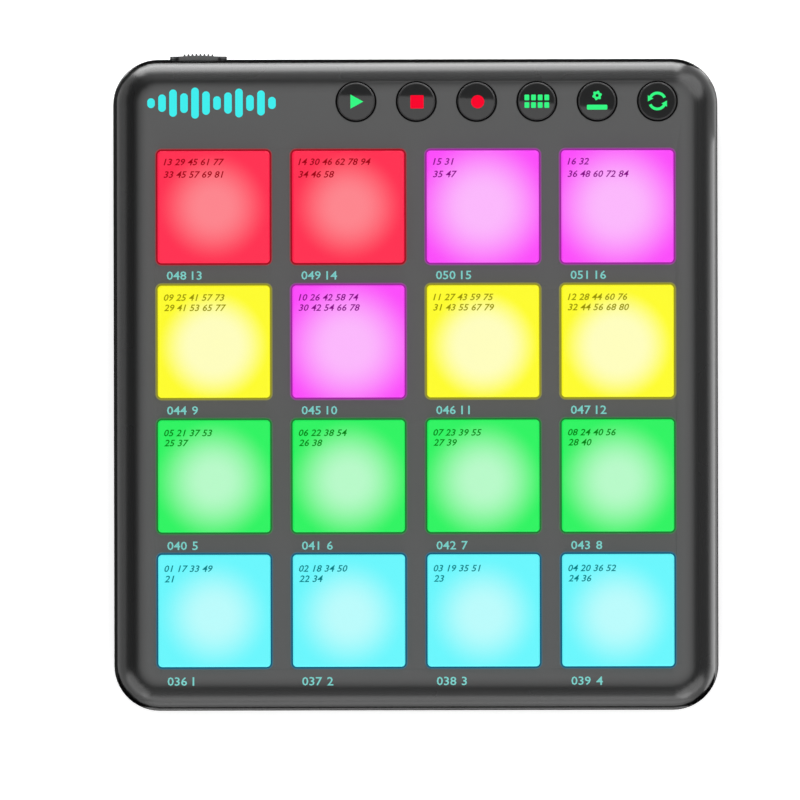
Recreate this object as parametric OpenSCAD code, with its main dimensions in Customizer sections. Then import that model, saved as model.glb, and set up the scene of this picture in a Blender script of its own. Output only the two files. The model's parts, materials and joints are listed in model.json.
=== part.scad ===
// Desktop pad controller: sixteen lit pads, a row of six round buttons and a rear power switch.
// The desk is z = 0, +Y points to the rear edge and the origin is under the middle of the housing.

/* [Pads] */
// Side of a pad's visible square
pad_size = 29.6; // [26:0.1:34]
// Gap between neighbouring pads
pad_spacing = 5.9; // [5.6:0.1:9]
// Plan radius of a pad's corners
pad_corner_r = 1.05; // [0.9:0.05:3]
// Rounding of a pad's top edge
pad_edge_r = 0.6; // [0.3:0.1:0.9]
// Height of a pad over the face
pad_proud = 1.4; // [1:0.1:3]
// Side clearance of a pad in its window
pad_gap = 0.4; // [0.3:0.05:0.6]
// Press travel of a pad
pad_travel = 1; // [0.5:0.1:1.5]
// Width of the flange that keeps a pad under the face
pad_flange_w = 1.4; // [1.2:0.1:1.5]
// Thickness of that flange
pad_flange_t = 1.2; // [0.8:0.1:2]
// Thickness of a pad's top over its light chamber
pad_skin = 2.2; // [1.5:0.1:3]
// Thickness of a pad's side walls
pad_wall = 2.4; // [2:0.1:3.5]
// Height of a return ring when it is pressed solid
ring_solid_h = 1; // [0.6:0.1:2]

/* [Housing] */
// From the pads to the housing's left and right sides
side_margin = 11.5; // [11.2:0.1:16]
// From the front pads to the front side
front_margin = 11.4; // [11.2:0.1:16]
// From the rear pads to the rear side, the deck of the buttons
deck_depth = 24; // [23:0.5:36]
// Plan radius of the housing's corners
corner_r = 11.7; // [10.5:0.1:14]
// Rounding of the upper edge
edge_r = 8.5; // [6:0.1:9.5]
// Rounding of the lower edge
base_edge_r = 3.2; // [1.5:0.1:3.4]
// How far the lower half stands out past the upper one, all round
base_ledge = 0.3; // [0.1:0.05:0.6]
// Thickness of the side walls
wall = 2.4; // [2:0.1:2.8]
// Thickness of the face
face_t = 2.2; // [1.6:0.1:3]
// Thickness of the floor
floor_t = 2; // [1.6:0.1:3]
// From the port's axis down to the seam between the shells
seam_drop = 3.2; // [3:0.1:3.6]
// Height of the shadow line along the seam
seam_h = 0.5; // [0.3:0.1:0.8]
// Depth of the shadow line
seam_in = 0.4; // [0.2:0.1:0.8]
// Height of the lower shell's lip inside the upper shell
lip_h = 1; // [0.6:0.1:1.2]
// Thickness of the lip
lip_t = 0.9; // [0.7:0.1:1.2]
// Clearance between the lip and the upper shell
lip_gap = 0.15; // [0.1:0.05:0.3]
// Bevel round each pad's window
rim_bevel = 0.3; // [0.2:0.1:0.8]
// Thickness of the ribs under the face
rib_t = 1.2; // [0.8:0.1:1.6]
// Depth of the ribs under the face
rib_h = 1.4; // [0.8:0.1:2]

/* [Buttons] */
// Diameter of a button's cap
button_d = 10; // [8:0.1:11]
// Pitch of the row
button_pitch = 15.9; // [15:0.1:18]
// From the last button's axis to the right side
button_side = 15.7; // [14:0.1:20]
// From the row to the rear side
button_rear = 11.05; // [10.5:0.05:13]
// Height of a cap over the face
button_proud = 0.6; // [0.3:0.1:1.5]
// Rounding of a cap's edge
button_edge_r = 0.4; // [0.2:0.1:0.8]
// Side clearance of a cap in its hole
button_gap = 0.4; // [0.3:0.05:0.6]
// Bevel round a button's hole
button_bevel = 0.15; // [0.1:0.05:0.5]
// Press travel of a button
button_travel = 0.8; // [0.4:0.1:1.2]
// Width of the flange that keeps a button under the face
button_flange_w = 1.2; // [0.8:0.1:1.4]
// Thickness of that flange
button_flange_t = 1; // [0.8:0.1:1.5]
// Diameter of the stem that meets the dome
button_stem_d = 5.2; // [4:0.1:5.4]

/* [Power switch] */
// From the slider's axis to the left side, switched on
slider_side = 22.3; // [20:0.1:30]
// Length of the thumb piece
slider_w = 15; // [13:0.1:18]
// Height of the thumb piece
slider_h = 4.5; // [3.6:0.1:5.4]
// Thickness of the thumb piece at its ends
slider_t = 0.95; // [0.6:0.05:1.2]
// Rise of its crown over the ends
slider_rise = 0.26; // [0.1:0.02:0.6]
// Number of grip ribs
slider_ribs = 8; // [4:1:10]
// Pitch of the grip ribs
slider_rib_pitch = 1.05; // [0.9:0.05:1.2]
// Radius of a grip rib
slider_rib_r = 0.26; // [0.2:0.02:0.4]
// Height of a grip rib over the crown
slider_rib_h = 0.5; // [0.4:0.05:0.7]
// Switching travel
slider_travel = 2; // [1.5:0.1:3]
// Width of the neck in its slot
neck_w = 4; // [3:0.1:5]
// Height of the neck
neck_h = 1.8; // [1.4:0.1:2.2]
// Running clearance of the neck and of the inner plate
slider_gap = 0.25; // [0.15:0.05:0.4]
// Gap between the thumb piece and the rear wall
slider_lift = 0.12; // [0.1:0.02:0.3]
// Thickness of the inner plate
retainer_t = 1.2; // [0.8:0.1:1.6]
// Overlap of the inner plate past the slot
retainer_over = 0.6; // [0.4:0.1:0.8]
// Length of the switch's body
switch_w = 9; // [8:0.1:12]
// Depth of the switch's body
switch_d = 3.7; // [3:0.1:5]
// Height of the switch's body
switch_h = 3.5; // [3:0.1:3.6]
// Side of the switch lever's square section
lever_w = 1.4; // [1:0.1:1.6]

/* [Port] */
// From the port's axis to the left side
port_side = 44; // [40:0.5:120]
// Width of the port's metal shell
port_w = 8.94; // [8.9:0.02:9]
// Height of the metal shell
port_h = 3.2; // [3.1:0.02:3.3]
// Depth of the metal shell
port_d = 7.3; // [6.8:0.1:10]
// Thickness of the metal shell
port_t = 0.3; // [0.2:0.05:0.35]
// Clearance of the shell in the wall
port_gap = 0.2; // [0.1:0.05:0.3]
// Width of the contact tongue
tongue_w = 6.7; // [6:0.1:6.9]
// Thickness of the contact tongue
tongue_t = 0.7; // [0.5:0.05:0.8]

/* [Inside] */
// Thickness of the circuit board
board_t = 1.6; // [1:0.1:2]
// Clearance of the board at the rear wall
board_gap = 0.75; // [0.5:0.05:1.5]
// Height of the light tray
tray_h = 3.6; // [3:0.1:6]
// Thickness of the tray's top plate
tray_t = 1.2; // [0.8:0.1:1.6]
// Thickness of the walls round a light well
well_t = 1.2; // [0.8:0.1:1.4]
// Thickness of the sensor film
film_t = 0.3; // [0.2:0.05:0.5]
// Width of the sensor film's tail
tail_w = 16; // [10:0.5:24]
// Side of a pad's LED
led_w = 5; // [3:0.1:6]
// Height of a pad's LED
led_h = 1.6; // [1:0.1:2]
// Thickness of the dome mat
mat_t = 1; // [0.8:0.1:1.5]
// Height of a dome when it is pressed flat
dome_solid_h = 1.8; // [1.5:0.1:2]
// Diameter of a dome's foot
dome_d = 8.6; // [8:0.1:9]
// Thickness of a dome's wall
dome_t = 0.6; // [0.4:0.05:0.8]
// Diameter of the screw bosses
boss_d = 5.6; // [5:0.1:6]
// Room between the bosses and the lip
boss_room = 0.3; // [0.2:0.05:0.6]
// Diameter of the case screws
case_screw_d = 2.6; // [2.2:0.1:3]
// Length of the case screws
case_screw_l = 12; // [9:0.5:13]
// Diameter of a case screw's head
case_head_d = 5; // [4.4:0.1:5.4]
// Height of a case screw's head
case_head_h = 1.7; // [1.2:0.1:2]
// Depth of the seat of a case screw's head
case_seat = 2.4; // [2.2:0.1:2.8]
// Diameter of the board screws
board_screw_d = 2.2; // [2:0.1:2.5]
// Length of the board screws
board_screw_l = 6; // [5:0.5:7]
// Diameter of a board screw's head
board_head_d = 4.2; // [3.6:0.1:5]
// Height of a board screw's head
board_head_h = 1.5; // [1:0.1:2]
// Clearance of a screw in its hole
screw_gap = 0.05; // [0.02:0.01:0.1]
// Width of the battery
battery_w = 62; // [40:1:80]
// Length of the battery
battery_l = 44; // [30:1:60]
// Thickness of the battery
battery_t = 4.6; // [3:0.1:7]
// Thickness of the tape under the battery
tape_t = 0.4; // [0.2:0.1:1]
// Room between the battery and the board
battery_room = 2.4; // [2.2:0.1:5]
// Diameter of a battery lead
lead_d = 1.3; // [1:0.1:1.6]
// Diameter of a rubber foot
foot_d = 12; // [8:0.5:16]
// Height of a foot under the floor
foot_h = 1.6; // [1:0.1:4]
// Depth of a foot's recess
foot_seat = 0.8; // [0.5:0.1:1]
// From a foot's axis to the sides
foot_inset = 21; // [20:0.5:40]

/* [Hidden] */
$fn = 64;
// Overshoot of a cut past the surface it opens
cut = 1;
// Gap between two pieces that lie against each other
touch = 0.05;
// Depth that a rib, boss or lip runs into the wall it stands on
root = 0.5;
// Gap over the flanges of pads and buttons
float_gap = 0.1;
// Side clearance between neighbouring inner pieces
side_gap = 0.4;
grid_n = 4;
pads = grid_n * grid_n;

// Plan of the housing and of the pad field
pitch = pad_size + pad_spacing;
grid = grid_n * pad_size + (grid_n - 1) * pad_spacing;
body_w = grid + 2 * side_margin;
body_d = grid + front_margin + deck_depth;
grid_y = (front_margin - deck_depth) / 2;
base_w = body_w + 2 * base_ledge;
base_d = body_d + 2 * base_ledge;
inner_w = body_w - 2 * wall;
inner_d = body_d - 2 * wall;
rear_y = body_d / 2;
inner_rear_y = rear_y - wall;

// Heights from the desk upwards
z_base = foot_h;
z_floor = z_base + floor_t;
z_battery = z_floor + tape_t;
z_board = z_battery + battery_t + battery_room;
z_board_top = z_board + board_t;
z_port = z_board - port_h / 2;
z_seam = z_port - seam_drop;
z_tray = z_board_top + tray_h;
z_film = z_tray + film_t;
z_flange = z_film + ring_solid_h + pad_travel;
z_flange_top = z_flange + pad_flange_t;
z_ceiling = z_flange_top + float_gap;
z_face = z_ceiling + face_t;
z_pad = z_face + pad_proud;
z_seat = z_base + case_seat;
z_dome = z_board_top + mat_t + dome_solid_h + button_travel;

// Pad, ring, film and well sizes that follow one another
flange_size = pad_size + 2 * pad_flange_w;
flange_r = pad_corner_r + pad_flange_w;
chamber = pad_size - 2 * pad_wall;
ring_out = flange_size - 2 * side_gap;
ring_in = chamber + side_gap;
tray_size = (grid_n - 1) * pitch + ring_out + side_gap;
tray_rear_y = grid_y + tray_size / 2;
well_out = chamber + 2 * well_t;

// Board outline
board_w = (grid_n - 1) * pitch + well_out + side_gap;
board_rear_y = inner_rear_y - board_gap;
board_front_y = grid_y - board_w / 2;
board_d = board_rear_y - board_front_y;
board_mid_y = (board_rear_y + board_front_y) / 2;
board_deck_y = tray_rear_y + side_gap;
board_corner_r = 2;

// Button row
button_y = rear_y - button_rear;
buttons = 6;
button_flange_d = button_d + 2 * button_flange_w;
button_pocket_d = button_flange_d + 2 * button_gap;

// Screw bosses
lip_w = inner_w - 2 * lip_gap;
lip_d = inner_d - 2 * lip_gap;
lip_r = corner_r - wall - lip_gap;
boss_reach = lip_r - lip_t - boss_room - boss_d / 2;
corner_boss_x = body_w / 2 - corner_r + boss_reach / sqrt(2);
corner_boss_y = body_d / 2 - corner_r + boss_reach / sqrt(2);
side_boss_x = lip_w / 2 - lip_t - boss_room - boss_d / 2;
pillar_t = 1.3;
recess_d = case_head_d + 2 * side_gap;

// Power switch
slider_x = slider_side - body_w / 2;
slider_y = rear_y + slider_lift;
crown_reach = 0.42 * slider_w;
slot_w = neck_w + slider_travel + 2 * slider_gap;
slot_h = neck_h + 2 * slider_gap;
slot_x = slider_x + slider_travel / 2;
retainer_w = slot_w + slider_travel + 2 * retainer_over;
retainer_h = slot_h + 2 * retainer_over;
retainer_y = inner_rear_y - slider_gap;
retainer_back_y = retainer_y - retainer_t;
prong_l = 1.8;
prong_t = 1.1;
switch_y = retainer_back_y - prong_l - slider_gap;
lever_tip_y = retainer_back_y - slider_gap;
lever_depth = 2;

// Port
port_x = port_side - body_w / 2;
port_sink = 0.4;
port_y = rear_y - port_sink;
port_back_t = 1.4;
tongue_l = 4.5;

// Battery and its leads
battery_y = grid_y + pitch / 2;
battery_edge_r = 1.4;
battery_corner_r = 3;
strip_w = battery_w - 4 * battery_corner_r;
strip_d = 4;
strip_t = 3;
strip_y = battery_y + battery_l / 2 + strip_d;
lead_z = z_battery + strip_t / 2;
lead_gap = 2;
lead_bend_r = 3;
lead_run = 4;
lead_end_x = 2 * lead_bend_r;
lead_end_y = strip_y + 2 * lead_run + 2 * lead_bend_r;
connector_w = 7;
connector_d = 5;

PAD_NAMES = [for (i = [1:pads]) str("pad_", i < 10 ? "0" : "", i)];
BUTTON_NAMES = [
  "button_play", "button_stop", "button_record", "button_bank", "button_shift", "button_repeat"
];
PIECE_NAMES = [
  "top_shell", "bottom_shell", "rubber_feet", "case_screws", "main_pcb", "pcb_screws", "light_tray",
  "sensor_film", "sensor_connector", "pad_return_rings", "pad_leds", "button_dome_mat", "button_leds",
  "port_shell", "port_tongue", "power_switch_body", "power_switch_lever", "power_slider",
  "slider_retainer", "battery_pack", "battery_tape", "battery_lead_red", "battery_lead_black",
  "battery_connector", "controller_chip", "charger_chip"
];

SHELL_GREY = "#5a5b5b";
BASE_BLACK = "#202122";
RUBBER = "#26272a";
STEEL = "#b8babd";
BOARD_GREEN = "#1f5a3c";
MILKY = "#e8ebee";
CYAN = "#66f2fa";
GREEN = "#33f069";
YELLOW = "#f8f82c";
MAGENTA = "#f858f8";
RED = "#fa2e52";
PAD_COLOURS = [
  CYAN, CYAN, CYAN, CYAN,
  GREEN, GREEN, GREEN, GREEN,
  YELLOW, MAGENTA, YELLOW, YELLOW,
  RED, RED, MAGENTA, MAGENTA
];

// Pads count from the front left, row by row
function pad_x(i) = ((i - 1) % grid_n - (grid_n - 1) / 2) * pitch;
function pad_y(i) = grid_y + (floor((i - 1) / grid_n) - (grid_n - 1) / 2) * pitch;
function button_x(i) = body_w / 2 - button_side - (buttons - i) * button_pitch;
// Height of the thumb piece's crown at a distance from its middle
function crown(x) = slider_t + slider_rise * (1 + cos(180 * min(1, abs(x) / crown_reach))) / 2;

module at_pads() {
  for (i = [1:pads])
    translate([pad_x(i), pad_y(i), 0]) children();
}

// The points where four pads meet
module at_crossings() {
  for (column = [-1:1], row = [-1:1])
    translate([column * pitch, grid_y + row * pitch, 0]) children();
}

module at_buttons() {
  for (i = [1:buttons])
    translate([button_x(i), button_y, 0]) children();
}

module at_case_screws() {
  for (sx = [-1, 1]) {
    for (sy = [-1, 1])
      translate([sx * corner_boss_x, sy * corner_boss_y, 0]) children();
    translate([sx * side_boss_x, grid_y, 0]) children();
  }
}

module rounded_plan(w, d, r) {
  square([w - 2 * r, d], center = true);
  square([w, d - 2 * r], center = true);
  for (sx = [-1, 1], sy = [-1, 1])
    translate([sx * (w / 2 - r), sy * (d / 2 - r)]) circle(r);
}

module pill(w, h) {
  square([w - h, h], center = true);
  for (s = [-1, 1])
    translate([s * (w - h) / 2, 0]) circle(h / 2);
}

// Half section of a block from its middle outwards, with its upper outer edge rounded
module edge_profile(reach, h, r) {
  square([reach - r, h]);
  square([reach, h - r]);
  translate([reach - r, h - r]) intersection() {
    circle(r);
    square(r);
  }
}

// A block with rounded plan corners and a rounded upper edge
module rounded_slab(w, d, h, corner, edge) {
  straight_w = w - 2 * corner;
  straight_d = d - 2 * corner;
  translate([-straight_w / 2, -straight_d / 2, 0]) cube([straight_w, straight_d, h]);
  for (s = [0, 1]) {
    mirror([s, 0, 0]) translate([straight_w / 2, straight_d / 2, 0])
      rotate([90, 0, 0]) linear_extrude(straight_d) edge_profile(corner, h, edge);
    mirror([0, s, 0]) translate([-straight_w / 2, straight_d / 2, 0])
      rotate([90, 0, 90]) linear_extrude(straight_w) edge_profile(corner, h, edge);
    for (t = [0, 1])
      mirror([s, 0, 0]) mirror([0, t, 0]) translate([straight_w / 2, straight_d / 2, 0])
        rotate_extrude(angle = 90) edge_profile(corner, h, edge);
  }
}

// A block that widens upwards by its own height on every side, corners included
module flared_slab(size, corner, h) {
  straight = size - 2 * corner;
  half = size / 2;
  for (turn = [0, 90])
    rotate([90, 0, turn]) translate([0, 0, -straight / 2]) linear_extrude(straight)
      polygon([[-half, 0], [half, 0], [half + h, h], [-half - h, h]]);
  for (sx = [-1, 1], sy = [-1, 1])
    translate([sx * straight / 2, sy * straight / 2, 0]) cylinder(h, corner, corner + h);
}

module window_cut() {
  window = pad_size + 2 * pad_gap;
  window_r = pad_corner_r + pad_gap;
  translate([0, 0, z_ceiling - cut]) linear_extrude(face_t + 2 * cut) rounded_plan(window, window, window_r);
  translate([0, 0, z_face - rim_bevel]) flared_slab(window, window_r, rim_bevel + touch);
}

// The hole of a button, its bevel, and the pocket of its flange under the face
module button_cut() {
  hole_r = button_d / 2 + button_gap;
  translate([0, 0, z_ceiling - cut]) cylinder(face_t + 2 * cut, r = hole_r);
  translate([0, 0, z_face - button_bevel])
    cylinder(button_bevel + touch, hole_r, hole_r + button_bevel + touch);
  translate([0, 0, z_dome]) cylinder(z_ceiling - z_dome, d = button_pocket_d);
}

// The slot of the power slider and the opening of the port, through the rear wall
module rear_cuts() {
  translate([slot_x, rear_y + cut, z_port]) rotate([90, 0, 0]) linear_extrude(wall + 2 * cut)
    square([slot_w, slot_h], center = true);
  translate([port_x, rear_y + cut, z_port]) rotate([90, 0, 0]) linear_extrude(wall + 2 * cut)
    pill(port_w + 2 * port_gap, port_h + 2 * port_gap);
}

module face_ribs() {
  for (line = [-1:1]) {
    translate([-grid / 2, grid_y + line * pitch - rib_t / 2, z_ceiling - rib_h])
      cube([grid, rib_t, rib_h + root]);
    translate([line * pitch - rib_t / 2, grid_y - grid / 2, z_ceiling - rib_h])
      cube([rib_t, grid, rib_h + root]);
  }
}

module top_shell() {
  color(SHELL_GREY) difference() {
    union() {
      difference() {
        translate([0, 0, z_seam]) rounded_slab(body_w, body_d, z_face - z_seam, corner_r, edge_r);
        translate([0, 0, z_seam - cut])
          rounded_slab(inner_w, inner_d, z_ceiling - z_seam + cut, corner_r - wall, edge_r - wall);
      }
      face_ribs();
      at_crossings() translate([0, 0, z_board_top]) cylinder(z_ceiling - z_board_top + root, d = boss_d);
      at_case_screws() translate([0, 0, z_seam]) cylinder(z_ceiling - z_seam, d = boss_d);
    }
    at_pads() window_cut();
    at_buttons() button_cut();
    rear_cuts();
    at_crossings() translate([0, 0, z_board_top - cut])
      cylinder(board_screw_l - board_t + 2 * cut, d = board_screw_d + 2 * screw_gap);
    at_case_screws() translate([0, 0, z_seam - cut])
      cylinder(z_seat + case_screw_l - z_seam + 2 * cut, d = case_screw_d + 2 * screw_gap);
  }
}

module battery_bay() {
  bay_t = 1.2;
  bay_h = 2.5;
  bay_w = battery_w + 2 * side_gap;
  bay_l = battery_l + 2 * side_gap;
  translate([0, battery_y, z_floor - root]) linear_extrude(bay_h + root) difference() {
    rounded_plan(bay_w + 2 * bay_t, bay_l + 2 * bay_t, battery_corner_r + bay_t);
    rounded_plan(bay_w, bay_l, battery_corner_r);
    translate([0, bay_l / 2]) square([strip_w + 2 * side_gap, bay_l], center = true);
  }
}

module bottom_shell() {
  tub_h = z_seam - seam_h - z_base;
  color(BASE_BLACK) difference() {
    union() {
      difference() {
        union() {
          translate([0, 0, z_base + tub_h]) mirror([0, 0, 1])
            rounded_slab(base_w, base_d, tub_h, corner_r + base_ledge, base_edge_r);
          translate([0, 0, z_base + tub_h - root]) linear_extrude(seam_h + root)
            rounded_plan(body_w - 2 * seam_in, body_d - 2 * seam_in, corner_r - seam_in);
          translate([0, 0, z_seam - root]) linear_extrude(lip_h + root) rounded_plan(lip_w, lip_d, lip_r);
        }
        translate([0, 0, z_floor]) linear_extrude(z_seam + lip_h)
          rounded_plan(lip_w - 2 * lip_t, lip_d - 2 * lip_t, lip_r - lip_t);
      }
      at_case_screws() translate([0, 0, z_floor - root])
        cylinder(z_seam - touch - z_floor + root, d = recess_d + 2 * pillar_t);
      battery_bay();
    }
    at_case_screws() {
      translate([0, 0, z_base - cut]) cylinder(case_seat + cut, d = recess_d);
      cylinder(z_face, d = case_screw_d + 2 * side_gap);
    }
    at_feet() translate([0, 0, z_base - cut]) cylinder(foot_seat + cut, d = foot_d + side_gap);
  }
}

module at_feet() {
  for (sx = [-1, 1], sy = [-1, 1])
    translate([sx * (body_w / 2 - foot_inset), sy * (body_d / 2 - foot_inset), 0]) children();
}

module rubber_feet() {
  foot_edge_r = 0.8;
  foot_top = z_base + foot_seat - touch;
  color(RUBBER) at_feet() translate([0, 0, foot_top]) mirror([0, 0, 1])
    rotate_extrude() edge_profile(foot_d / 2, foot_top, foot_edge_r);
}

// A pan head screw that points up, with its head under z = 0 and a cross drive
module screw(d, l, head_d, head_h) {
  drive_w = 0.25 * head_d;
  drive_l = 0.62 * head_d;
  drive_depth = 0.5 * head_h;
  cylinder(l, d = d);
  mirror([0, 0, 1]) difference() {
    rotate_extrude() edge_profile(head_d / 2, head_h, head_h / 2);
    for (turn = [0, 90])
      rotate(turn) translate([-drive_l / 2, -drive_w / 2, head_h - drive_depth])
        cube([drive_l, drive_w, head_h]);
  }
}

module case_screws() {
  color(STEEL) at_case_screws() translate([0, 0, z_seat])
    screw(case_screw_d, case_screw_l, case_head_d, case_head_h);
}

module pcb_screws() {
  color(STEEL) at_crossings() translate([0, 0, z_board])
    screw(board_screw_d, board_screw_l, board_head_d, board_head_h);
}

module main_pcb() {
  notch_w = retainer_w + slider_travel + 2 * side_gap;
  notch_d = board_rear_y - switch_y - slider_gap;
  color(BOARD_GREEN) translate([0, 0, z_board]) linear_extrude(board_t) difference() {
    union() {
      translate([0, board_mid_y]) rounded_plan(board_w, board_d, board_corner_r);
      intersection() {
        rounded_plan(inner_w - 2 * board_gap, inner_d - 2 * board_gap, corner_r - wall - board_gap);
        translate([-body_w / 2, board_deck_y]) square([body_w, board_rear_y - board_deck_y]);
      }
    }
    translate([slot_x - notch_w / 2, board_rear_y - notch_d]) square([notch_w, notch_d + cut]);
    at_crossings() circle(d = board_screw_d + side_gap);
    at_case_screws() circle(d = boss_d + 2 * side_gap);
  }
}

module square_ring(outside, inside, r) {
  difference() {
    rounded_plan(outside, outside, r);
    rounded_plan(inside, inside, r);
  }
}

// A plate over the pad field with a square opening under each pad and a hole round each boss
module pierced_plate(opening) {
  difference() {
    translate([0, grid_y]) rounded_plan(tray_size, tray_size, flange_r);
    at_pads() rounded_plan(opening, opening, pad_corner_r);
    at_crossings() circle(d = boss_d + 2 * side_gap);
  }
}

module light_tray() {
  color(MILKY) {
    translate([0, 0, z_tray - tray_t]) linear_extrude(tray_t) pierced_plate(chamber);
    translate([0, 0, z_board_top]) linear_extrude(tray_h - tray_t)
      at_pads() square_ring(well_out, chamber, pad_corner_r);
  }
}

module sensor_film() {
  tail_y = tray_rear_y + side_gap;
  color("#c9a24a") {
    translate([0, 0, z_tray]) linear_extrude(film_t) pierced_plate(chamber + side_gap / 2);
    translate([-tail_w / 2, tray_rear_y - side_gap, z_tray]) cube([tail_w, 2 * side_gap + film_t, film_t]);
    translate([-tail_w / 2, tail_y, z_board_top + side_gap])
      cube([tail_w, film_t, z_film - z_board_top - side_gap]);
  }
}

module sensor_connector() {
  socket_d = 3;
  socket_h = 2;
  socket_end = 1.5;
  tail_y = tray_rear_y + side_gap;
  color(MILKY) difference() {
    translate([-tail_w / 2 - socket_end, tray_rear_y + touch, z_board_top])
      cube([tail_w + 2 * socket_end, socket_d, socket_h]);
    translate([-tail_w / 2 - touch, tail_y - touch, z_board_top + side_gap - touch])
      cube([tail_w + 2 * touch, film_t + 2 * touch, socket_h]);
  }
}

module pad_return_rings() {
  color(RUBBER) translate([0, 0, z_film]) linear_extrude(z_flange - z_film - touch)
    at_pads() square_ring(ring_out, ring_in, pad_corner_r);
}

module pad_leds() {
  lens_d = 0.76 * led_w;
  lens_depth = 0.3;
  color("white") at_pads() translate([0, 0, z_board_top]) difference() {
    translate([-led_w / 2, -led_w / 2, 0]) cube([led_w, led_w, led_h]);
    translate([0, 0, led_h - lens_depth]) cylinder(cut, d = lens_d);
  }
}

module pad(i) {
  color(PAD_COLOURS[i - 1]) translate([pad_x(i), pad_y(i), z_flange]) difference() {
    union() {
      linear_extrude(pad_flange_t) rounded_plan(flange_size, flange_size, flange_r);
      rounded_slab(pad_size, pad_size, z_pad - z_flange, pad_corner_r, pad_edge_r);
    }
    translate([0, 0, -cut]) linear_extrude(z_pad - pad_skin - z_flange + cut)
      rounded_plan(chamber, chamber, pad_corner_r);
  }
}

module button(i) {
  flange_z = z_ceiling - float_gap - button_flange_t;
  cap_h = z_face + button_proud - flange_z;
  color("#2b2c2d") translate([button_x(i), button_y, flange_z]) rotate_extrude() {
    edge_profile(button_d / 2, cap_h, button_edge_r);
    square([button_flange_d / 2, button_flange_t]);
    translate([0, z_dome + touch - flange_z]) square([button_stem_d / 2, flange_z - z_dome]);
  }
}

module button_dome_mat() {
  mat_margin = 0.5;
  mat_d = dome_d + 2 * mat_margin;
  mat_w = button_x(buttons) - button_x(1) + mat_d;
  crown_d = button_stem_d + 2 * dome_t;
  crown_h = 0.6;
  cone_h = z_dome - z_board_top - mat_t - crown_h;
  color("#d9dde0") difference() {
    union() {
      translate([(button_x(1) + button_x(buttons)) / 2, button_y, z_board_top]) linear_extrude(mat_t)
        pill(mat_w, mat_d);
      at_buttons() translate([0, 0, z_board_top + mat_t]) {
        cylinder(cone_h, d1 = dome_d, d2 = crown_d);
        translate([0, 0, cone_h]) cylinder(crown_h, d = crown_d);
      }
    }
    at_buttons() {
      translate([0, 0, z_board_top - cut]) cylinder(mat_t + cut, d = dome_d - 2 * dome_t);
      translate([0, 0, z_board_top + mat_t])
        cylinder(cone_h - dome_t, d1 = dome_d - 2 * dome_t, d2 = crown_d - 2 * dome_t);
    }
  }
}

module button_leds() {
  chip = [2, 1.25, 0.8];
  color("white") at_buttons() translate([-chip[0] / 2, -chip[1] / 2, z_board_top]) cube(chip);
}

module port_shell() {
  color(STEEL) translate([port_x, port_y, z_port]) rotate([90, 0, 0]) difference() {
    linear_extrude(port_d) pill(port_w, port_h);
    translate([0, 0, -cut]) linear_extrude(port_d + cut - port_t)
      pill(port_w - 2 * port_t, port_h - 2 * port_t);
  }
}

module port_tongue() {
  block_w = port_w - 2 * port_t - 2 * touch;
  block_h = port_h - 2 * port_t - 2 * touch;
  block_y = port_y - port_d + port_t + port_back_t;
  color("#1c1d1f") {
    translate([port_x, block_y, z_port]) rotate([90, 0, 0]) linear_extrude(port_back_t)
      pill(block_w, block_h);
    translate([port_x - tongue_w / 2, block_y, z_port - tongue_t / 2]) cube([tongue_w, tongue_l, tongue_t]);
  }
}

module power_switch_body() {
  slot_l = lever_w + slider_travel + 2 * slider_gap;
  slot_z = lever_w + 2 * slider_gap;
  color(STEEL) difference() {
    translate([slot_x - switch_w / 2, switch_y - switch_d, z_board - switch_h])
      cube([switch_w, switch_d, switch_h]);
    translate([slot_x - slot_l / 2, switch_y - lever_depth - slider_gap, z_port - slot_z / 2])
      cube([slot_l, switch_d, slot_z]);
  }
}

module power_switch_lever() {
  color("#1c1d1f") translate([slider_x - lever_w / 2, switch_y - lever_depth, z_port - lever_w / 2])
    cube([lever_w, lever_tip_y - switch_y + lever_depth, lever_w]);
}

// Section of a grip rib: straight sides that start inside the crown, and a round back
module grip_rib() {
  straight = slider_rib_h - slider_rib_r;
  translate([-slider_rib_r, -slider_t / 2]) square([2 * slider_rib_r, straight + slider_t / 2]);
  translate([0, straight]) circle(slider_rib_r);
}

module power_slider() {
  crown_steps = 40;
  xs = [for (k = [0:crown_steps]) slider_w * (k / crown_steps - 0.5)];
  neck_l = slider_y - retainer_y + retainer_t / 2;
  color("#626363") translate([slider_x, slider_y, z_port]) {
    intersection() {
      translate([0, 2 * slider_w, 0]) rotate([90, 0, 0]) linear_extrude(4 * slider_w)
        pill(slider_w, slider_h);
      union() {
        translate([0, 0, -slider_h]) linear_extrude(2 * slider_h)
          polygon(concat([for (x = xs) [x, crown(x)]], [[slider_w / 2, 0], [-slider_w / 2, 0]]));
        for (k = [1:slider_ribs]) {
          x = (k - (slider_ribs + 1) / 2) * slider_rib_pitch;
          translate([x, crown(x), -slider_h]) linear_extrude(2 * slider_h) grip_rib();
        }
      }
    }
    translate([-neck_w / 2, -neck_l, -neck_h / 2]) cube([neck_w, neck_l + slider_t / 2, neck_h]);
  }
}

module slider_retainer() {
  pocket_d = retainer_t / 2 + touch;
  color("#303133") translate([slider_x, retainer_back_y, z_port]) {
    difference() {
      translate([-retainer_w / 2, 0, -retainer_h / 2]) cube([retainer_w, retainer_t, retainer_h]);
      translate([-neck_w / 2 - touch, retainer_t - pocket_d, -neck_h / 2 - touch])
        cube([neck_w + 2 * touch, pocket_d + cut, neck_h + 2 * touch]);
    }
    for (s = [-1, 1])
      translate([s * (lever_w + prong_t + 2 * touch) / 2 - prong_t / 2, -prong_l, -lever_w / 2])
        cube([prong_t, prong_l, lever_w]);
  }
}

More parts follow.
